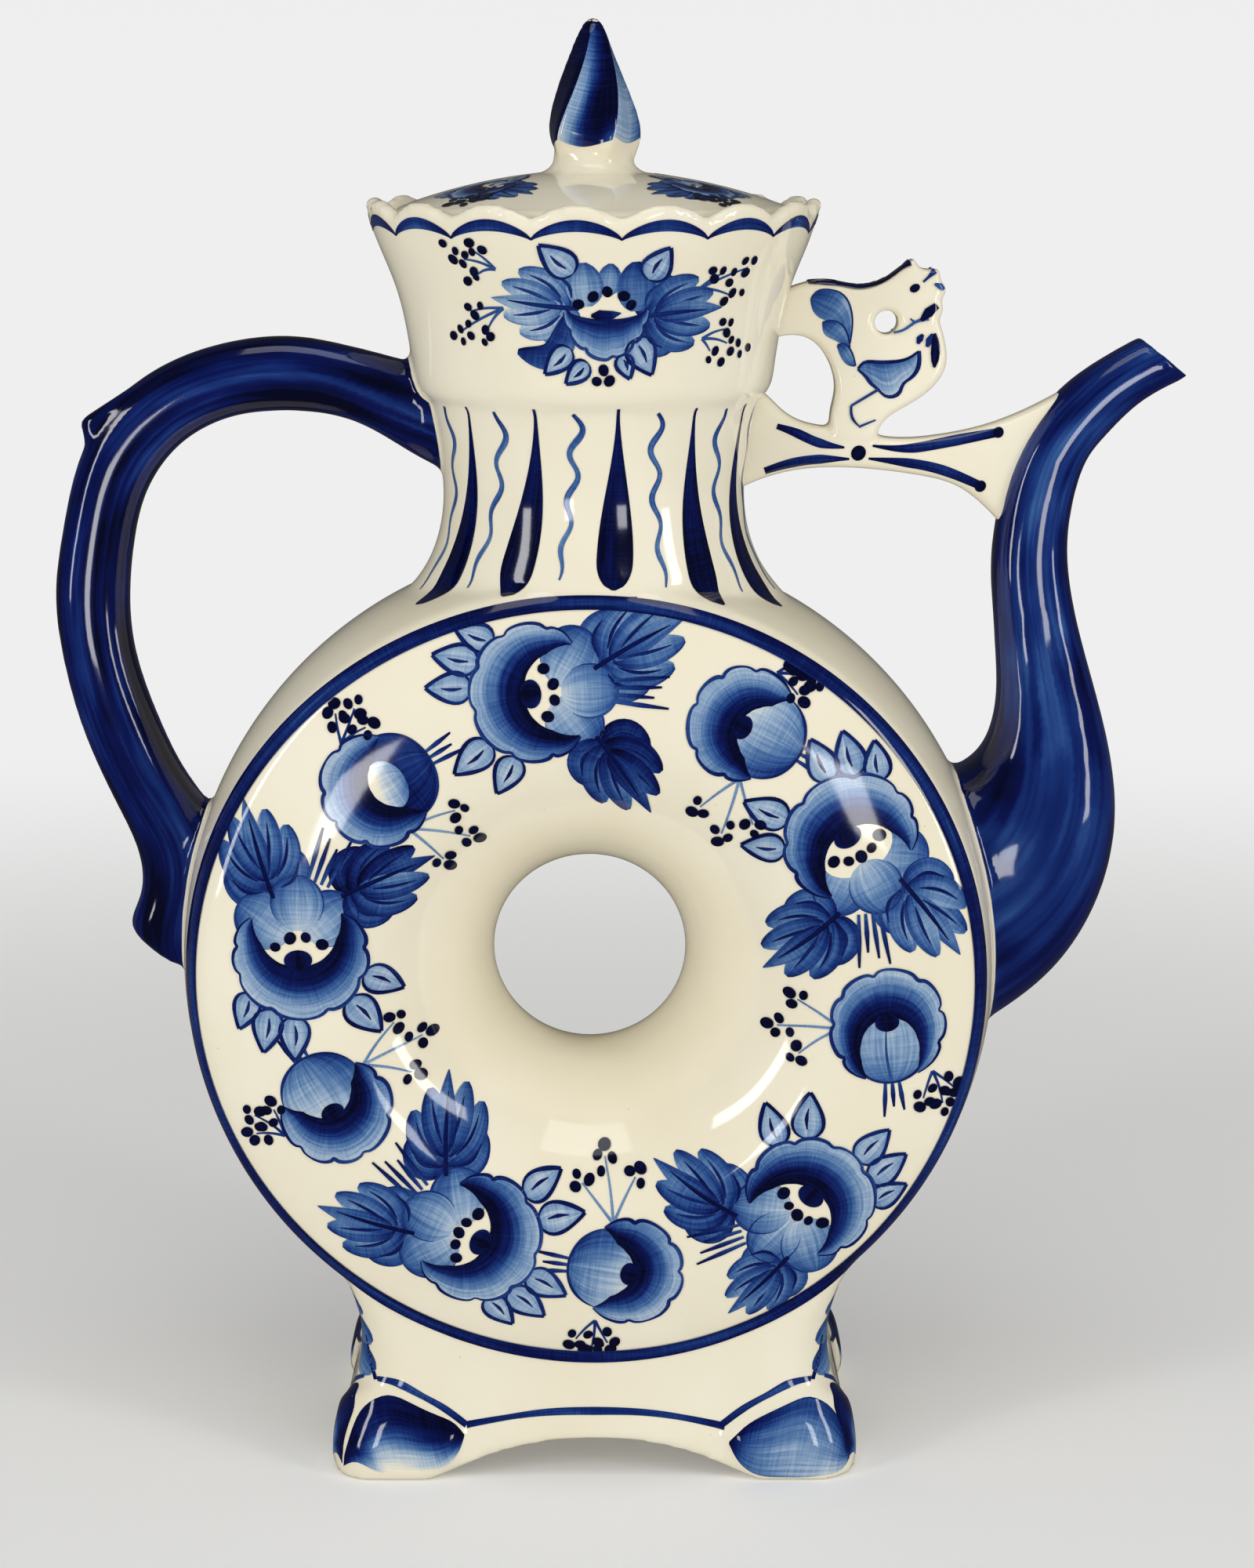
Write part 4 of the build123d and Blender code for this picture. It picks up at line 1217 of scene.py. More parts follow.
def wreath(sheet):
    """Paints the ten roses, their leaves and the navy line."""
    for index, (eye, heading, dots, far_leaf, near_leaf, stem_way, far_length) in enumerate(LARGE_ROSES):
        at = about(np.array(eye), heading)
        large_leaf(sheet, at(-157, 13.6), heading + far_leaf, far_length, 0.012 * index)
        large_leaf(sheet, at(130, 16.6), heading + near_leaf, 20.5, 0.2 if index in (0, 4) else 0.07)
        stems(sheet, at(stem_way, 15.2), heading + stem_way - 3, 12.0, 4, 2.95)
        for angle, far, length in LEAF_SPOTS:
            turn, outline = (0.5 * angle, 0.76) if angle < 0 else (angle, 0.84)
            small_leaf(sheet, at(angle, far), heading + turn, length, 0.66 * length, outline)
        large_rose(sheet, at(0, 0), heading, 0.97, dots, 0.17, index)
    for index, (eye, heading, kind, dark, pale) in enumerate(SMALL_ROSES):
        at = about(np.array(eye), heading)
        stems(sheet, at(180, 11.6), heading + 180, 8.0, 3)
        sprig(sheet, at(dark[0], 13.8), heading + dark[1], 7.8, dark=True)
        sprig(sheet, at(pale[0], 11.5), heading + pale[1], 13.0)
        small_rose(sheet, at(0, 0), heading, 0.97, 0.14, kind, index)
    turns = np.linspace(0, 2 * pi, 361)
    drift = line_drift(turns)
    tints = [[0.86 + 0.08 * sin(5 * t), 0.76 + 0.12 * sin(7 * t + 1), 0.9]
        for t in np.linspace(0, 2 * pi, 30)]
    sheet.wash(polar(turns, LINE_INSIDE + drift), polar(turns, LINE_OUTSIDE + drift), tints, 4, grain=0.45)


for sheet_name, sheet_side in (("wreath_front", -1), ("wreath_back", 1)):
    sheet = Sheet(sheet_name, pot, face_of_ring(sheet_side))
    wreath(sheet)
    sheet.lay_down("pot")

# %% [markdown]
# ## Drops around the neck
# Long drops hang around the neck, each one a single press of a full brush, and a thin wavy
# line runs between each pair, but none where the handle and the bridge leave the neck.

# %% Neck painting
DROPS, FIRST_DROP, DROP_TOP, DROP_FOOT, NECK_RADIUS = 13, 8.6, 253.6, 213.4, 37.0
HANDLE_ROOT, BRIDGE_ROOT = -90.0, 90.0  # degrees around the neck where clay stands in the way
neck_sheet = Sheet("neck_drops", pot, around_axis(NECK_RADIUS))
DROP_SHARES, WAVE_SHARES = np.linspace(0, 1, 45), np.linspace(0, 1, 60)
round_foot = np.sqrt(1 - np.clip((DROP_SHARES - 0.84) / 0.16, 0, 0.995) ** 2)
DROP_WIDTHS = (0.7 + 8.1 * smooth_step(DROP_SHARES, 0.0, 0.82)) * round_foot


def clear_of_clay(azimuth, margin):
    """Whether a place around the neck is free of the handle and the bridge."""
    return all(abs((azimuth - root + 180) % 360 - 180) > margin for root in (HANDLE_ROOT, BRIDGE_ROOT))


def hanging_line(azimuth, top, foot, shares, sway):
    """A line down the neck. Its foot swings away from the middle of the front or the back."""
    turn = radians(azimuth)
    fan = radians(12 * sin(2 * turn) - 5 * cos(turn)) * shares**1.5
    return np.column_stack([NECK_RADIUS * (turn + fan) + sway, top + (foot - top) * shares])


for k in range(DROPS):
    azimuth = FIRST_DROP + 360 / DROPS * k
    slope = abs(sin(radians(azimuth)))
    if clear_of_clay(azimuth, 17):
        line = hanging_line(azimuth, DROP_TOP - slope, DROP_FOOT - 9 * slope, DROP_SHARES,
            0.5 * np.sin(3 * DROP_SHARES + k))
        neck_sheet.stroke(line, DROP_WIDTHS * (1 - 0.2 * slope), [0.86, 0.84, 0.88, 0.95, 0.9], 1,
            (0.06, 0.08), 45)
    azimuth += 180 / DROPS
    slope = abs(sin(radians(azimuth)))
    if clear_of_clay(azimuth, 10):
        sway = 1.5 * np.sin(WAVE_SHARES * 7 * pi + k) * (1 - 0.65 * WAVE_SHARES)
        wavy = hanging_line(azimuth, 252.2, 215 - 7 * slope, WAVE_SHARES, sway)
        neck_sheet.stroke(wavy, [0.8, 1.6, 1.1, 1.5, 1.0, 1.3, 0.45], [0.7, 0.5, 0.58, 0.46, 0.56], 1,
            count=90)
neck_sheet.lay_down("pot")

# %% [markdown]
# ## Collar
# The collar carries a nosegay on the front and on the back: a rose that opens downwards, two
# large leaves, six small ones and four sprigs. Its places are lengths around the collar and
# heights. A crescent follows every scallop of the collar's edge.

# %% Nosegay
COLLAR_ROUND = 45.0
NOSEGAY_LEAVES = (  # base, tip and breadth of the small leaves
    ((-3.8, 284), (-10.4, 290.2), 6.4), ((12, 282.6), (15.8, 289.6), 6.4),
    ((-4.9, 267.2), (-11.2, 261.4), 5.2),
    ((-0.9, 264), (-6.2, 259.3), 4.6), ((6.8, 265.8), (9, 260.4), 4.2), ((9.8, 269.4), (14.3, 261.2), 7),
)
NOSEGAY_SPRIGS = (
    ((-20.5, 284.7), ((-24.9, 288.8), (-27.6, 286.8), (-25, 283.5)),
        ((-32, 290.2), (-29.2, 288.6), (-30.4, 286.7), (-27, 287.8), (-28.1, 285.8), (-25.3, 290.5),
        (-25.1, 288.5), (-22.6, 289), (-25.8, 284.1), (-25.6, 282.9), (-28, 281.9))),
    ((-20.2, 276), ((-29.1, 275), (-33.4, 270.1), (-25.5, 270.4)),
        ((-29.6, 276), (-26.1, 276.4), (-28, 274.2), (-30.3, 272.2), (-33, 270.9), (-35.6, 269.3),
        (-32.6, 268.1), (-30, 269.5), (-25.6, 271), (-26.2, 268.2), (-24.4, 269.5))),
    ((24.2, 280.3), ((29.3, 283.5), (36.2, 284.6), (32.7, 278.6)),
        ((26.5, 284.3), (29.2, 284.2), (27.4, 282.4), (34.7, 286.2), (37.4, 286.2), (35.8, 283.5),
        (32.3, 283.8), (31.8, 281.4), (33.5, 279), (36.5, 279), (31.5, 277.2))),
    ((26.8, 268.9), ((33.2, 270.8), (34.7, 267.6), (29.6, 266)),
        ((32.3, 272.5), (34.9, 272.3), (34, 270), (35.9, 268.3), (38.5, 267.5), (36.1, 265.7),
        (39.6, 264.9), (42.7, 266.2), (31.1, 266), (29.3, 264.1), (33.3, 263.4))),
)


def nosegay(sheet):
    """Paints one nosegay on the collar."""
    large_leaf(sheet, (-4.6, 276.4), 174, 18.0, -0.17, 0.8)
    finger(sheet, [(-4.8, 275.0), (-9.5, 265.6), (-17.6, 266.4)], 6.4, [0.7, 0.6, 0.66, 0.8], (0.16, -0.1),
        2.5)
    large_leaf(sheet, (12.0, 274.2), 5, 19.0, 0.02, 0.8)
    for base, tip, breadth in NOSEGAY_LEAVES:
        reach = np.subtract(tip, base)
        small_leaf(sheet, base, np.degrees(atan2(reach[1], reach[0])), np.hypot(*reach), breadth, layer=2.9)
    sheet.wash([(-2.6, 277.0), (0.5, 275.0), (3.3, 274.6), (6.5, 275.0), (9.4, 277.4)],
        [(-2.2, 278.5), (0.5, 281.0), (3.6, 281.6), (7.0, 281.2), (9.2, 279.0)], [[0.0]], 0.3)
    for base, tip, width, shade in (((3.6, 279.2), (3.9, 286.2), 5.2, 0.0),
        ((-1.2, 276.6), (-1.8, 286.4), 8.0, -0.04), ((10.0, 275.6), (9.0, 286.6), 8.4, 0.14)):
        middle = (np.array(base) + tip) / 2
        finger(sheet, [base, middle, tip], width, np.array([0.3, 0.3, 0.36, 0.56]) + shade, (0.22, 0.1), 1.6)
    degree = np.linspace(-90, 90, 61)
    notches = [-64, -30, 8, 42, 70]
    edge = np.interp(np.abs(degree), [0, 50, 90], [10.6, 9.6, 9.3]) - scallops(degree, notches, 0.8)
    angles = np.radians(degree)
    outer = np.array([3.3, 275.4]) + polar(angles - pi / 2, edge)
    inner = np.array([3.3, 276.2]) + np.column_stack([8.6 * np.sin(angles), -2.4 * np.cos(angles)])
    sheet.wash(inner, outer, [[0.86, 0.8, 0.62, 0.44, 0.34, 0.28]], 3, grain=0.9)
    sheet.stroke(outer, [0.3, 0.7, 0.9, 0.6, 0.9, 0.3], [0.74, 0.68, 0.78], 4, count=70)
    sheet.wash([(-0.2, 274.3), (1.6, 273.6), (4.6, 273.8), (6.4, 275.0)],
        [(-0.1, 275.0), (1.6, 275.9), (4.6, 275.7), (6.5, 275.3)], [[1.0], [0.9], [0.7]], 4.6)
    for k, spot in enumerate(((-2.9, 277.2), (0.3, 278.9), (3.3, 280.0), (6.9, 279.0), (8.6, 277.0),
        (2.7, 262.4), (1.1, 259.9), (4.1, 260.0))):
        sheet.dot(spot, 1.15 + 0.1 * sin(3 * k), 1.0, 5, 1.15, k)
    for base, tips, dots in NOSEGAY_SPRIGS:
        berry_sprig(sheet, base, tips, dots, 0.6, 0.95)


for sheet_name, turn in (("collar_front", 0.0), ("collar_back", pi)):
    sheet = Sheet(sheet_name, pot, around_axis(COLLAR_ROUND, turn))
    nosegay(sheet)
    sheet.lay_down("pot")

# %% Crescents
crescents = Sheet("collar_crescents", pot, around_axis(COLLAR_ROUND))
for k in range(SCALLOPS):
    marks = np.linspace(0, 1, 25)
    across = COLLAR_ROUND * (radians(7.5) + 2 * pi / SCALLOPS * (k + marks))
    bow = np.sin(pi * marks) ** 0.75
    tint = 0.1 * sin(2.7 * k)
    crescents.wash(
        np.column_stack([across, 291.2 + 2.0 * bow]), np.column_stack([across, 291.8 + 4.0 * bow]),
        [[0.86, 0.9], [0.72 + tint, 0.78], [0.64 + tint, 0.78], [0.76, 0.8], [0.88, 0.9]], 2, grain=0.6,
    )
crescents.lay_down("pot")

# %% [markdown]
# ## Lid and bud
# Four small roses with leaves and berries go round the lid. The bud has five faces: two run from
# pale at one ridge to nearly black at the next, the one between them is pale, and the other two
# are all dark.

# %% Lid painting
lid_sheet = Sheet("lid_flowers", lid, from_above)
for k, (x, y) in enumerate(((-23.5, -17.0), (23.5, -17.0), (23.5, 17.0), (-23.5, 17.0))):
    outward = np.degrees(atan2(y, x))
    side = -1 if k % 2 else 1
    at = about(np.array([x, y]), outward)
    large_leaf(lid_sheet, at(side * 60, 3.0), outward + side * 95, 15.0, 0.1)
    large_leaf(lid_sheet, at(-side * 60, 3.0), outward - side * 60, 11.5, -0.1)
    sprig(lid_sheet, at(side * 20, 6.0), outward + side * 40, 6.0, dark=True)
    small_leaf(lid_sheet, at(170, 5.0), outward + 200, 7.5, 4.6)
    large_rose(lid_sheet, at(0, 0), outward, 0.5, 3, 0.2, k)
lid_sheet.lay_down("lid")

# %% Bud painting
BUD_ROUND = 8.0
FACE_WIDTH = 360 / BUD_SIDES  # in degrees
PALE_TO_DARK = [
    [0.05, 0.26, 0.28, 0.34, 0.5, 0.85], [0.34, 0.36, 0.34, 0.42, 0.6, 0.8],
    [0.66, 0.84, 0.78, 0.72, 0.76, 0.85],
    [0.9, 1, 1, 0.92, 0.86, 0.9], [0.85, 1, 1, 1, 0.97, 1], [0.5, 0.95, 1, 1, 1, 1],
]
ALL_DARK = [[0.9, 1.0, 1.0, 0.96, 1.0]]
ALL_PALE = [[0.2, 0.3, 0.36, 0.42, 0.66, 0.95], [0.3, 0.3, 0.34, 0.42, 0.6, 0.9],
    [0.74, 0.56, 0.44, 0.46, 0.7, 0.95]]
bud_sheet = Sheet("bud_faces", lid, around_axis(BUD_ROUND))
total_twist = BUD_TWIST * (len(BUD) - 1)
for k, loads in enumerate((PALE_TO_DARK, ALL_PALE, PALE_TO_DARK, ALL_DARK, ALL_DARK)):
    marks = np.linspace(0, 1, 17)
    ridge = radians(-54 + FACE_WIDTH * k) + marks * radians(FACE_WIDTH)
    start = 312.4 - 1.6 * np.sin(pi * marks) + 0.8 * (k % 2)
    low = np.column_stack([BUD_ROUND * (ridge + bud_turn(start)), start])
    high = np.column_stack([BUD_ROUND * (ridge + total_twist), np.full(len(marks), 339.6)])
    bud_sheet.wash(low, high, loads, 1, grain=0.8)
bud_sheet.lay_down("lid")
tip_sheet = Sheet("bud_tip", lid, from_above)
tip_sheet.dot((0.0, 0.0), 2.3, 0.98, 3)
tip_sheet.lay_down("lid")

# %% [markdown]
# ## Bridge, rooster and feet
# The strut is painted on both faces. Four long strokes leave one dot on the bridge. The rooster
# has three tail feathers, a wing, a bent leg, an eye, and short marks on comb, throat and breast.
# Each foot is washed from navy at its top to white at the ground, with a thin line above it.

# %% Rooster painting
TAIL = (  # the lower and the upper edge of each feather
    (((50.5, 275.7), (51.3, 272.9), (52.8, 271.5), (55.4, 270.4), (57.7, 268.1), (59.4, 265.4)),
        ((50.6, 276), (52, 277.7), (54.8, 278.1), (58, 277), (60.1, 273.2), (59.9, 265.6))),
    (((53.3, 270.3), (53.9, 267.8), (56.2, 266.4), (57.7, 265.6), (59.6, 264.4)),
        ((53.4, 270.6), (55.4, 271), (57.6, 270.2), (59.3, 267.6), (59.9, 264.6))),
    (((56.8, 265), (57.7, 262.6), (59.6, 260.5), (61, 260.2)),
        ((57, 265.4), (58.4, 265.6), (60.2, 263.8), (61.3, 260.4))),
)
WING_TOP = ((61.8, 259.7), (63.2, 261.2), (66.0, 261.3), (68.9, 261.3), (73.4, 262.1), (75.9, 263.8))
WING_EDGE = ((61.7, 259.6), (63.8, 257.7), (64.9, 256.3), (66.6, 254.9), (67.9, 253.6), (69.8, 253.2),
    (71.7, 254.4), (72.3, 256.0), (74.2, 257.6), (75.9, 260.2), (76.0, 263.9))
MARKS = (  # points, widths, load: leg, foot, comb, beak, necklace, throat, breast and back
    (((66.6, 254.9), (60.3, 251.1)), (0.7, 0.6), 0.66),
    (((60.3, 251.1), (60.6, 248.4), (62.6, 246)), (0.6, 0.7, 0.3), 0.7),
    (((62.2, 246.2), (66.1, 247.8)), (0.6, 0.4), 0.66),
    (((76.7, 279.8), (78, 281), (79.4, 282.2)), (0.5, 0.7, 1.3), 0.7),
    (((79.3, 279.3), (80.4, 278.9), (81.4, 278)), (0.5, 1.3, 0.7), 0.6),
    (((70.2, 267.9), (72.6, 268.9), (74.8, 270.4), (78.1, 271.5)), (0.4, 0.6, 0.7, 1.2), 0.55),
    (((73.8, 271.4), (74.9, 270.5)), (0.3, 0.7), 0.55),
    (((76.4, 270.9), (78, 272.7), (80, 274.4)), (0.9, 2.4, 1.5), 0.96),
    (((75.7, 265.5), (76.1, 266.6), (76.9, 267.7)), (0.7, 1.7, 0.7), 0.8),
    (((77.8, 264.8), (78.4, 266.2), (79.2, 267.8)), (0.7, 1.9, 0.8), 0.75),
    (((79.6, 268), (79.8, 264), (79.6, 260)), (0.5, 1.5, 2, 2.1, 1.7, 0.5), 0.98),
    (((50.1, 279.5), (57.5, 279.1), (61.6, 278.5), (64.9, 279.1), (68.6, 281), (72.3, 283.7),
        (73.8, 284.3)), (0.5, 0.9, 0.8, 1, 1.4, 1.7, 1.6), 0.95),
)
BRIDGE_STROKES = (  # points and widths
    (((43, 246.3), (47.8, 244.6), (52.3, 242.6), (58.9, 241.3)), (1.3, 2.2, 2.2, 0.5)),
    (((40.2, 235.8), (46.7, 237.7), (52.4, 238.5), (60.1, 238.6)), (1.6, 2.2, 2.2, 0.5)),
    (((65.5, 241.7), (73, 241), (80.5, 242), (94.8, 244.8)), (0.5, 2.2, 2.4, 2)),
    (((64.6, 238.7), (73, 237.8), (80.6, 236.4), (90.8, 232.4)), (0.5, 2.2, 2.4, 2)),
)
BRIDGE_DOTS = (((62.2, 240.0), 1.7), ((95.0, 244.8), 1.2), ((91.0, 232.2), 1.3))

for sheet_name, sheet_side in (("strut_front", -1), ("strut_back", 1)):
    sheet = Sheet(sheet_name, strut, middle_plane(sheet_side))
    for points, widths in BRIDGE_STROKES:
        sheet.stroke(points, widths, [0.9, 0.8, 0.74, 0.86], 1, (0.1, 0.02), 30)
    for centre, radius in BRIDGE_DOTS:
        sheet.dot(centre, radius, 1.0, 2, 1.1, 0.9)
    for low, high in TAIL:
        low, high = curve_through(low, 16), curve_through(high, 16)
        sheet.wash(low, high, [[0.72, 0.66, 0.72], [0.5, 0.58, 0.7], [0.46, 0.42, 0.3], [0.56, 0.5, 0.36],
            [0.7, 0.66, 0.6]], 1, grain=0.7)
        sheet.stroke(high, [0.2, 0.45, 0.3], 0.74, 2)
    sheet.wash(curve_through(WING_EDGE, 30), curve_through(WING_TOP, 30),
        [[0.5, 0.5, 0.5], [0.34, 0.42, 0.56], [0.2, 0.36, 0.56], [0.24, 0.34, 0.5], [0.34, 0.38, 0.5]], 1,
        grain=0.7)
    sheet.stroke(WING_EDGE, [0.5, 0.9, 0.6, 1.0, 0.7, 1.1, 0.9], 0.8, 2)
    sheet.stroke(WING_TOP, [0.6, 0.9, 0.8, 0.5], 0.86, 2)
    for points, widths, tint in MARKS:
        sheet.stroke(points, widths, tint, 6.0, count=44, grain=0.25)
    sheet.dot((74.8, 278.4), 0.95, 1.0, 3, 1.35, 0.5)
    sheet.lay_down("pot")

# %% Feet painting
LEFT_FOOT = (  # its lower edge, its upper edge and the loads between them
    ((-59.6, 2.6), (-57, 4.4), (-52, 2.8), (-46, 1.6), (-41, 1.4), (-35.8, 3), (-32, 7.2), (-30.9, 10.2)),
    ((-59.4, 5.4), (-57.6, 11.4), (-54.2, 17.4), (-49, 19.8), (-43, 17.8), (-37, 15.2), (-32.6, 13),
        (-30.8, 10.8)),
    [[0.9, 0.95, 0.95, 0.9], [0.4, 0.8, 0.96, 0.9], [0.02, 0.2, 0.74, 0.92], [0, 0.14, 0.6, 0.96, 0.84],
        [0, 0.3, 0.78, 0.98, 0.97], [0.1, 0.6, 0.9, 1, 1], [0.9, 1, 1, 1, 1]],
)
RIGHT_FOOT = (
    ((32, 8.8), (34.2, 4.8), (38, 1.8), (44, 1), (50, 1), (55, 1.4), (59.2, 2.2), (60.8, 4)),
    ((32.1, 9.4), (35.4, 12.6), (41.6, 16), (47, 18.4), (51, 19.4), (55, 17.6), (58.6, 12.6), (60.6, 6)),
    [[1, 1, 1], [0.6, 0.55, 0.7, 0.95], [0.44, 0.4, 0.5, 0.85], [0.34, 0.3, 0.44, 0.72],
        [0.26, 0.3, 0.42, 0.72], [0.12, 0.36, 0.5, 0.8], [0.3, 0.6, 0.85, 0.95]],
)
FRONT_TRIM = ((-51.6, 22.9), (-47.6, 22.7), (-42.2, 20.3), (-35.9, 16.9), (-30.3, 13.0))
ARCH_TRIM = ((-30.3, 13.0), (-21.5, 14.5), (-12.5, 15.7), (0.0, 16.1), (12.5, 15.7), (21.5, 14.5),
    (31.0, 12.6))
CORNER_LINE = ((-52.0, 22.6), (-53.2, 26.2), (-54.4, 32.4))
SIDE_FINGERS = (  # foot, tip and width of the broad strokes on the ends of the pedestal
    ((-35, 24), (-22, 33), 8), ((-34, 31), (-24, 40), 6.5), ((-33, 38), (-26, 46), 5),
)
SIDE_TRIM = ((-33.0, 22.4), (-27.0, 18.6), (-19.0, 12.8), (-9.0, 15.0), (0.0, 15.8))


def smooth_wash(sheet, low, high, loads):
    """A wash between two smooth curves."""
    sheet.wash(curve_through(low, 26), curve_through(high, 26), loads, 1, grain=0.9)


for sheet_name, sheet_side in (("feet_front", -1), ("feet_back", 1)):
    sheet = Sheet(sheet_name, pot, middle_plane(sheet_side))
    smooth_wash(sheet, *LEFT_FOOT)
    smooth_wash(sheet, *RIGHT_FOOT)
    for mirror in (1, -1):
        sheet.stroke(np.array(FRONT_TRIM) * [mirror, 1], [1.1, 1.9, 1.4, 1.6, 1.5],
            [0.76, 0.66, 0.72, 0.84], 1)
        sheet.stroke(np.array(CORNER_LINE) * [mirror, 1], [1.0, 0.8, 0.3], 0.86, 1)
    sheet.stroke(ARCH_TRIM, [1.6, 1.3, 1.7, 1.9, 1.6, 1.4, 1.7], [0.84, 0.74, 0.7, 0.76, 0.72, 0.84], 1)
    sheet.lay_down("pot")

for sheet_name, sheet_side in (("feet_left", -1), ("feet_right", 1)):
    sheet = Sheet(sheet_name, pot, side_plane(sheet_side))
    for mirror in (1, -1):
        shape = [np.array(curve) * [0.72, 1] + [2.6, 0.4] for curve in LEFT_FOOT[:2]]
        smooth_wash(sheet, *(curve * [mirror, 1] for curve in shape), LEFT_FOOT[2])
        for (y, z), (y2, z2), width in SIDE_FINGERS:
            line = np.array([(y, z), ((y + y2) / 2, (z + z2) / 2 - 1), (y2, z2)]) * [mirror, 1]
            finger(sheet, line, width, [0.5, 0.44, 0.56], (-0.1, 0.2), 1, True)
        sheet.stroke(np.array(SIDE_TRIM) * [mirror, 1], [1.0, 1.6, 1.4, 1.6, 1.6], [0.7, 0.84, 0.72], 1)
    large_leaf(sheet, (0.0, 24.0), 90, 20.0, 0.0)
    sheet.lay_down("pot")

# %% [markdown]
# ## Camera
# The camera stands 82 centimetres in front of the pot, at the height of its lid, and looks down
# at it by eleven degrees. A long lens keeps the ring round.

# %% Camera
scene = bpy.context.scene
camera = in_scene("camera", bpy.data.cameras.new("camera"))
camera.location = (0.0009, -0.8161, 0.3232)
LOOKED_AT = Vector((0.0020, 0, 0.1599))  # about the ring's upper part, on the middle plane
camera.rotation_euler = (LOOKED_AT - camera.location).to_track_quat("-Z", "Y").to_euler()
camera.data.sensor_fit, camera.data.sensor_width = "HORIZONTAL", 36.0
camera.data.lens = 99.3
scene.camera = camera
scene.view_settings.view_transform = "Standard"
print("camera at", [round(value, 3) for value in camera.location])

# %% [markdown]
# ## Lamps
# Two tall soft boxes draw the long highlights down the handle, the spout and the ring. A wide
# one above lights the whole pot, and two small ones stand for the windows that the glaze mirrors.

# %% Lamps
def softbox(name, place, target, size, power):
    """A studio soft box: a rectangle of light, with its size in metres and its power in watts."""
    lamp = in_scene(name, bpy.data.lights.new(name, "AREA"))
    lamp.data.shape, lamp.data.size, lamp.data.size_y = "RECTANGLE", size[0], size[1]
    lamp.data.energy = power
    lamp.location = place
    lamp.rotation_euler = (Vector(target) - Vector(place)).to_track_quat("-Z", "Y").to_euler()


softbox("softbox_left", (-0.85, -0.70, 0.40), (0, 0, 0.17), (0.13, 0.66), 2.7)
softbox("softbox_right", (0.90, -0.62, 0.44), (0, 0, 0.17), (0.15, 0.66), 2.7)
softbox("softbox_top", (0.0, -0.35, 1.2), (0, 0, 0.2), (0.7, 0.5), 2.2)
softbox("window_left", (-0.30, -0.95, 0.11), (-0.05, 0, 0.16), (0.11, 0.15), 0.5)
softbox("window_right", (0.36, -0.95, 0.15), (0.05, 0, 0.16), (0.13, 0.17), 0.6)

# %% [markdown]
# ## Surround
# The room gives more light from the front than from behind. The camera sees a plain pale
# backdrop, and the glaze mirrors a dim room, so that the cobalt keeps its depth.

# %% World
BACKGROUND_LOW, BACKGROUND_HIGH = "#efefef", "#e8e8e8"  # near the horizon and above it
world = bpy.data.worlds.new("studio")
scene.world = world
world.use_nodes = True
world.node_tree.nodes.clear()
facing_room = node(world, "ShaderNodeTexCoord").outputs["Generated"]
room = node(world, "ShaderNodeSeparateXYZ", {"Vector": facing_room}).outputs
shades = [(0.0, BACKGROUND_LOW), (0.25, BACKGROUND_HIGH)]
backdrop = node(world, "ShaderNodeValToRGB", {"Fac": room["Z"]}, stops=shades).outputs["Color"]
front_to_back = {"From Min": -1.0, "From Max": 1.0, "To Min": 0.64, "To Max": 0.24}
brightness = node(world, "ShaderNodeMapRange", {"Value": room["Y"]}, front_to_back).outputs["Result"]
surround = node(world, "ShaderNodeBackground", {"Strength": brightness}, {"Color": linear("#f6f5f2")})
mirrored = node(world, "ShaderNodeBackground", values={"Color": linear("#e6e8f0"), "Strength": 0.07})
seen = node(world, "ShaderNodeBackground", {"Color": backdrop}, {"Strength": 1.0})
rays = node(world, "ShaderNodeLightPath").outputs
light = {"Fac": rays["Is Glossy Ray"], 1: surround.outputs[0], 2: mirrored.outputs[0]}
lit = node(world, "ShaderNodeMixShader", light).outputs[0]
view = {"Fac": rays["Is Camera Ray"], 1: lit, 2: seen.outputs[0]}
shown = node(world, "ShaderNodeMixShader", view).outputs[0]
node(world, "ShaderNodeOutputWorld", {"Surface": shown})
print("world nodes:", len(world.node_tree.nodes))

# %% [markdown]
# ## Floor
# A wide round card lies under the pot. Its middle is pale paper that takes the pot's shadow, and
# further out it fades into the backdrop's colour. The glaze mirrors it as a dim card.

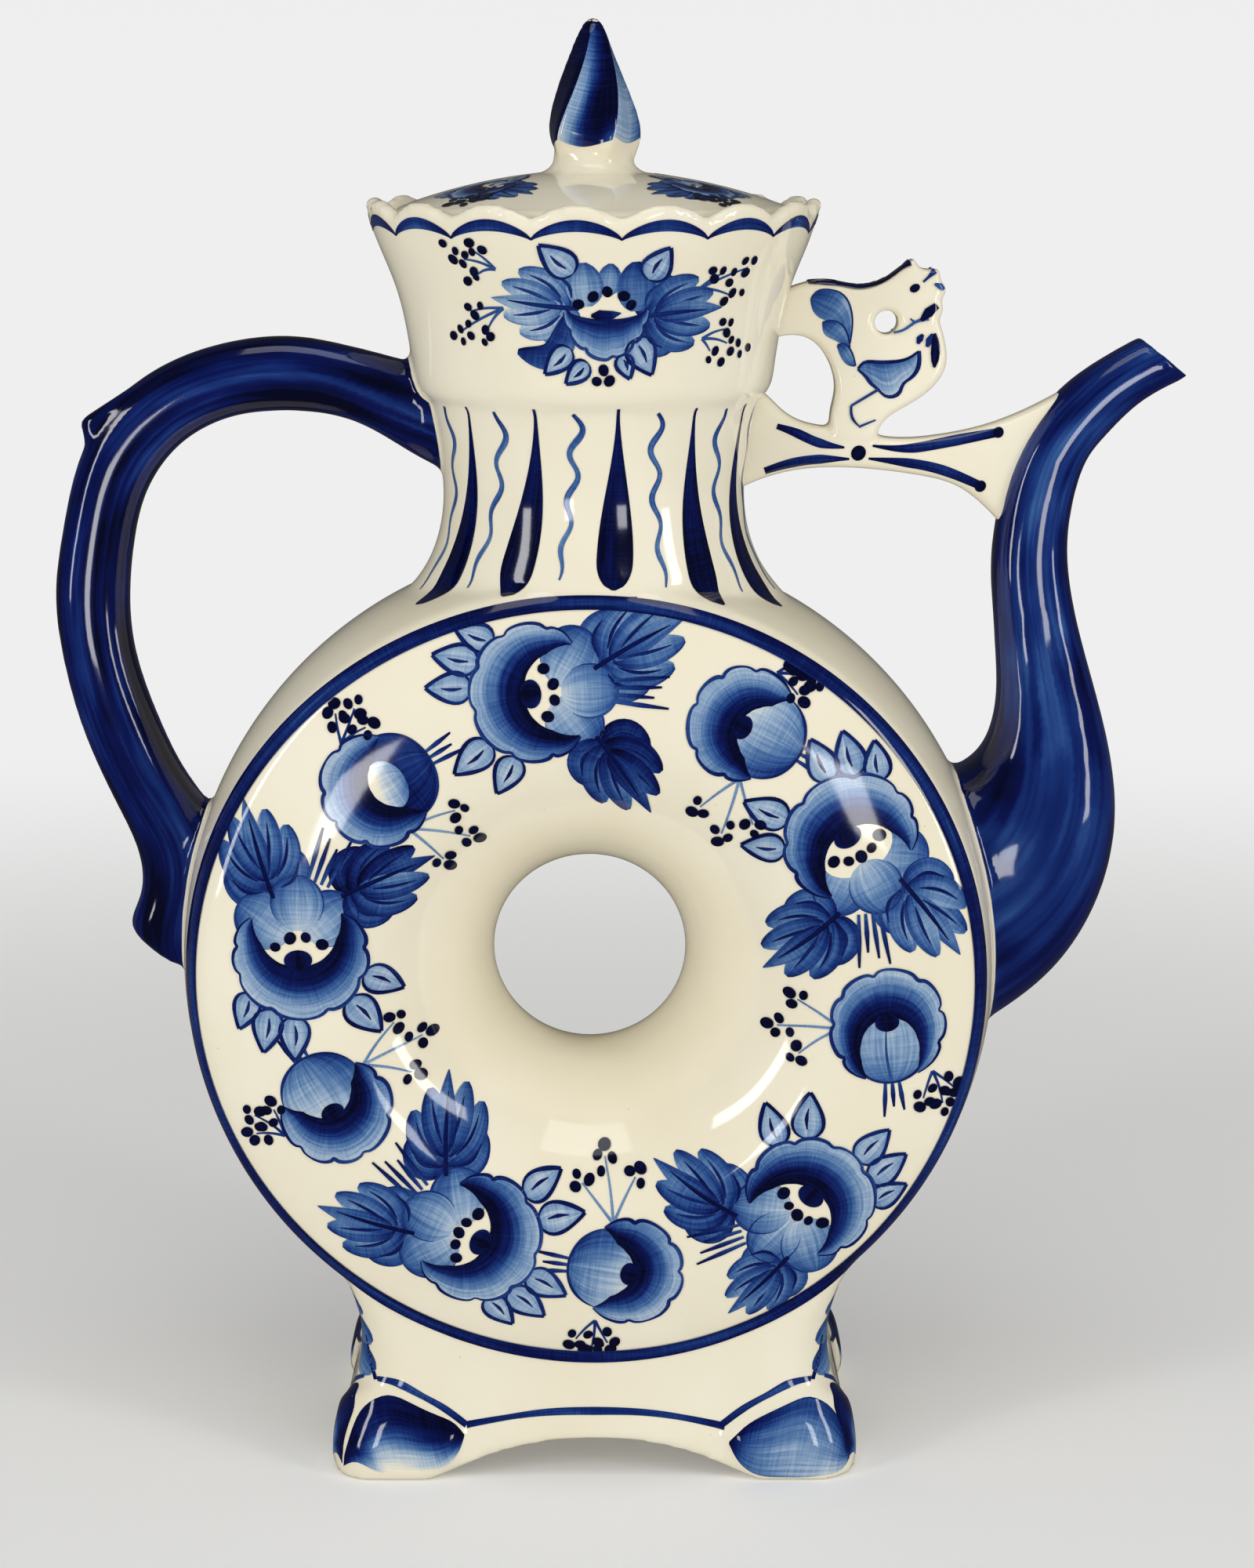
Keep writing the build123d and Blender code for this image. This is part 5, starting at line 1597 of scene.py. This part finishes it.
# %% Floor
FLOOR_RINGS, FLOOR_REACH, FLOOR_SIDES = 40, 4000, 96
turns = np.linspace(0, 2 * pi, FLOOR_SIDES, endpoint=False)
radii = np.linspace(0, 1, FLOOR_RINGS)[1:] ** 2 * FLOOR_REACH
floor_points = [(0, 0, 0)] + [(r * cos(t), r * sin(t), 0) for r in radii for t in turns]
floor_faces = [(0, 1 + j, 1 + (j + 1) % FLOOR_SIDES) for j in range(FLOOR_SIDES)]
for i in range(len(radii) - 1):
    low, high = 1 + i * FLOOR_SIDES, 1 + (i + 1) * FLOOR_SIDES
    for j in range(FLOOR_SIDES):
        beside = (j + 1) % FLOOR_SIDES
        floor_faces.append((low + j, high + j, high + beside, low + beside))
floor = mesh_object("floor", floor_points, floor_faces)

card = new_material("pale_backdrop_card")
place = node(card, "ShaderNodeNewGeometry").outputs["Position"]
distance = node(card, "ShaderNodeVectorMath", {0: place}, operation="LENGTH").outputs["Value"]
fade_range = {"From Min": 0.25, "From Max": 0.95}
far = node(card, "ShaderNodeMapRange", {"Value": distance}, fade_range, interpolation_type="SMOOTHSTEP")
paper = node(card, "ShaderNodeBsdfPrincipled", values={
    "Base Color": linear("#ececec"), "Roughness": 0.9, "Specular IOR Level": 0.1,
    "Emission Color": linear("#ffffff"), "Emission Strength": 0.12,
})
beyond = node(card, "ShaderNodeEmission", values={"Color": linear(BACKGROUND_LOW), "Strength": 1.0})
near_and_far = {"Fac": far.outputs["Result"], 1: paper.outputs["BSDF"], 2: beyond.outputs[0]}
blend = node(card, "ShaderNodeMixShader", near_and_far).outputs[0]
dim_card = node(card, "ShaderNodeEmission", values={"Color": linear("#cfcdc8"), "Strength": 0.10}).outputs[0]
glossy = node(card, "ShaderNodeLightPath").outputs["Is Glossy Ray"]
floor_look = node(card, "ShaderNodeMixShader", {"Fac": glossy, 1: blend, 2: dim_card}).outputs[0]
node(card, "ShaderNodeOutputMaterial", {"Surface": floor_look})
floor.data.materials.append(card)
print("floor:", len(floor_faces), "faces")
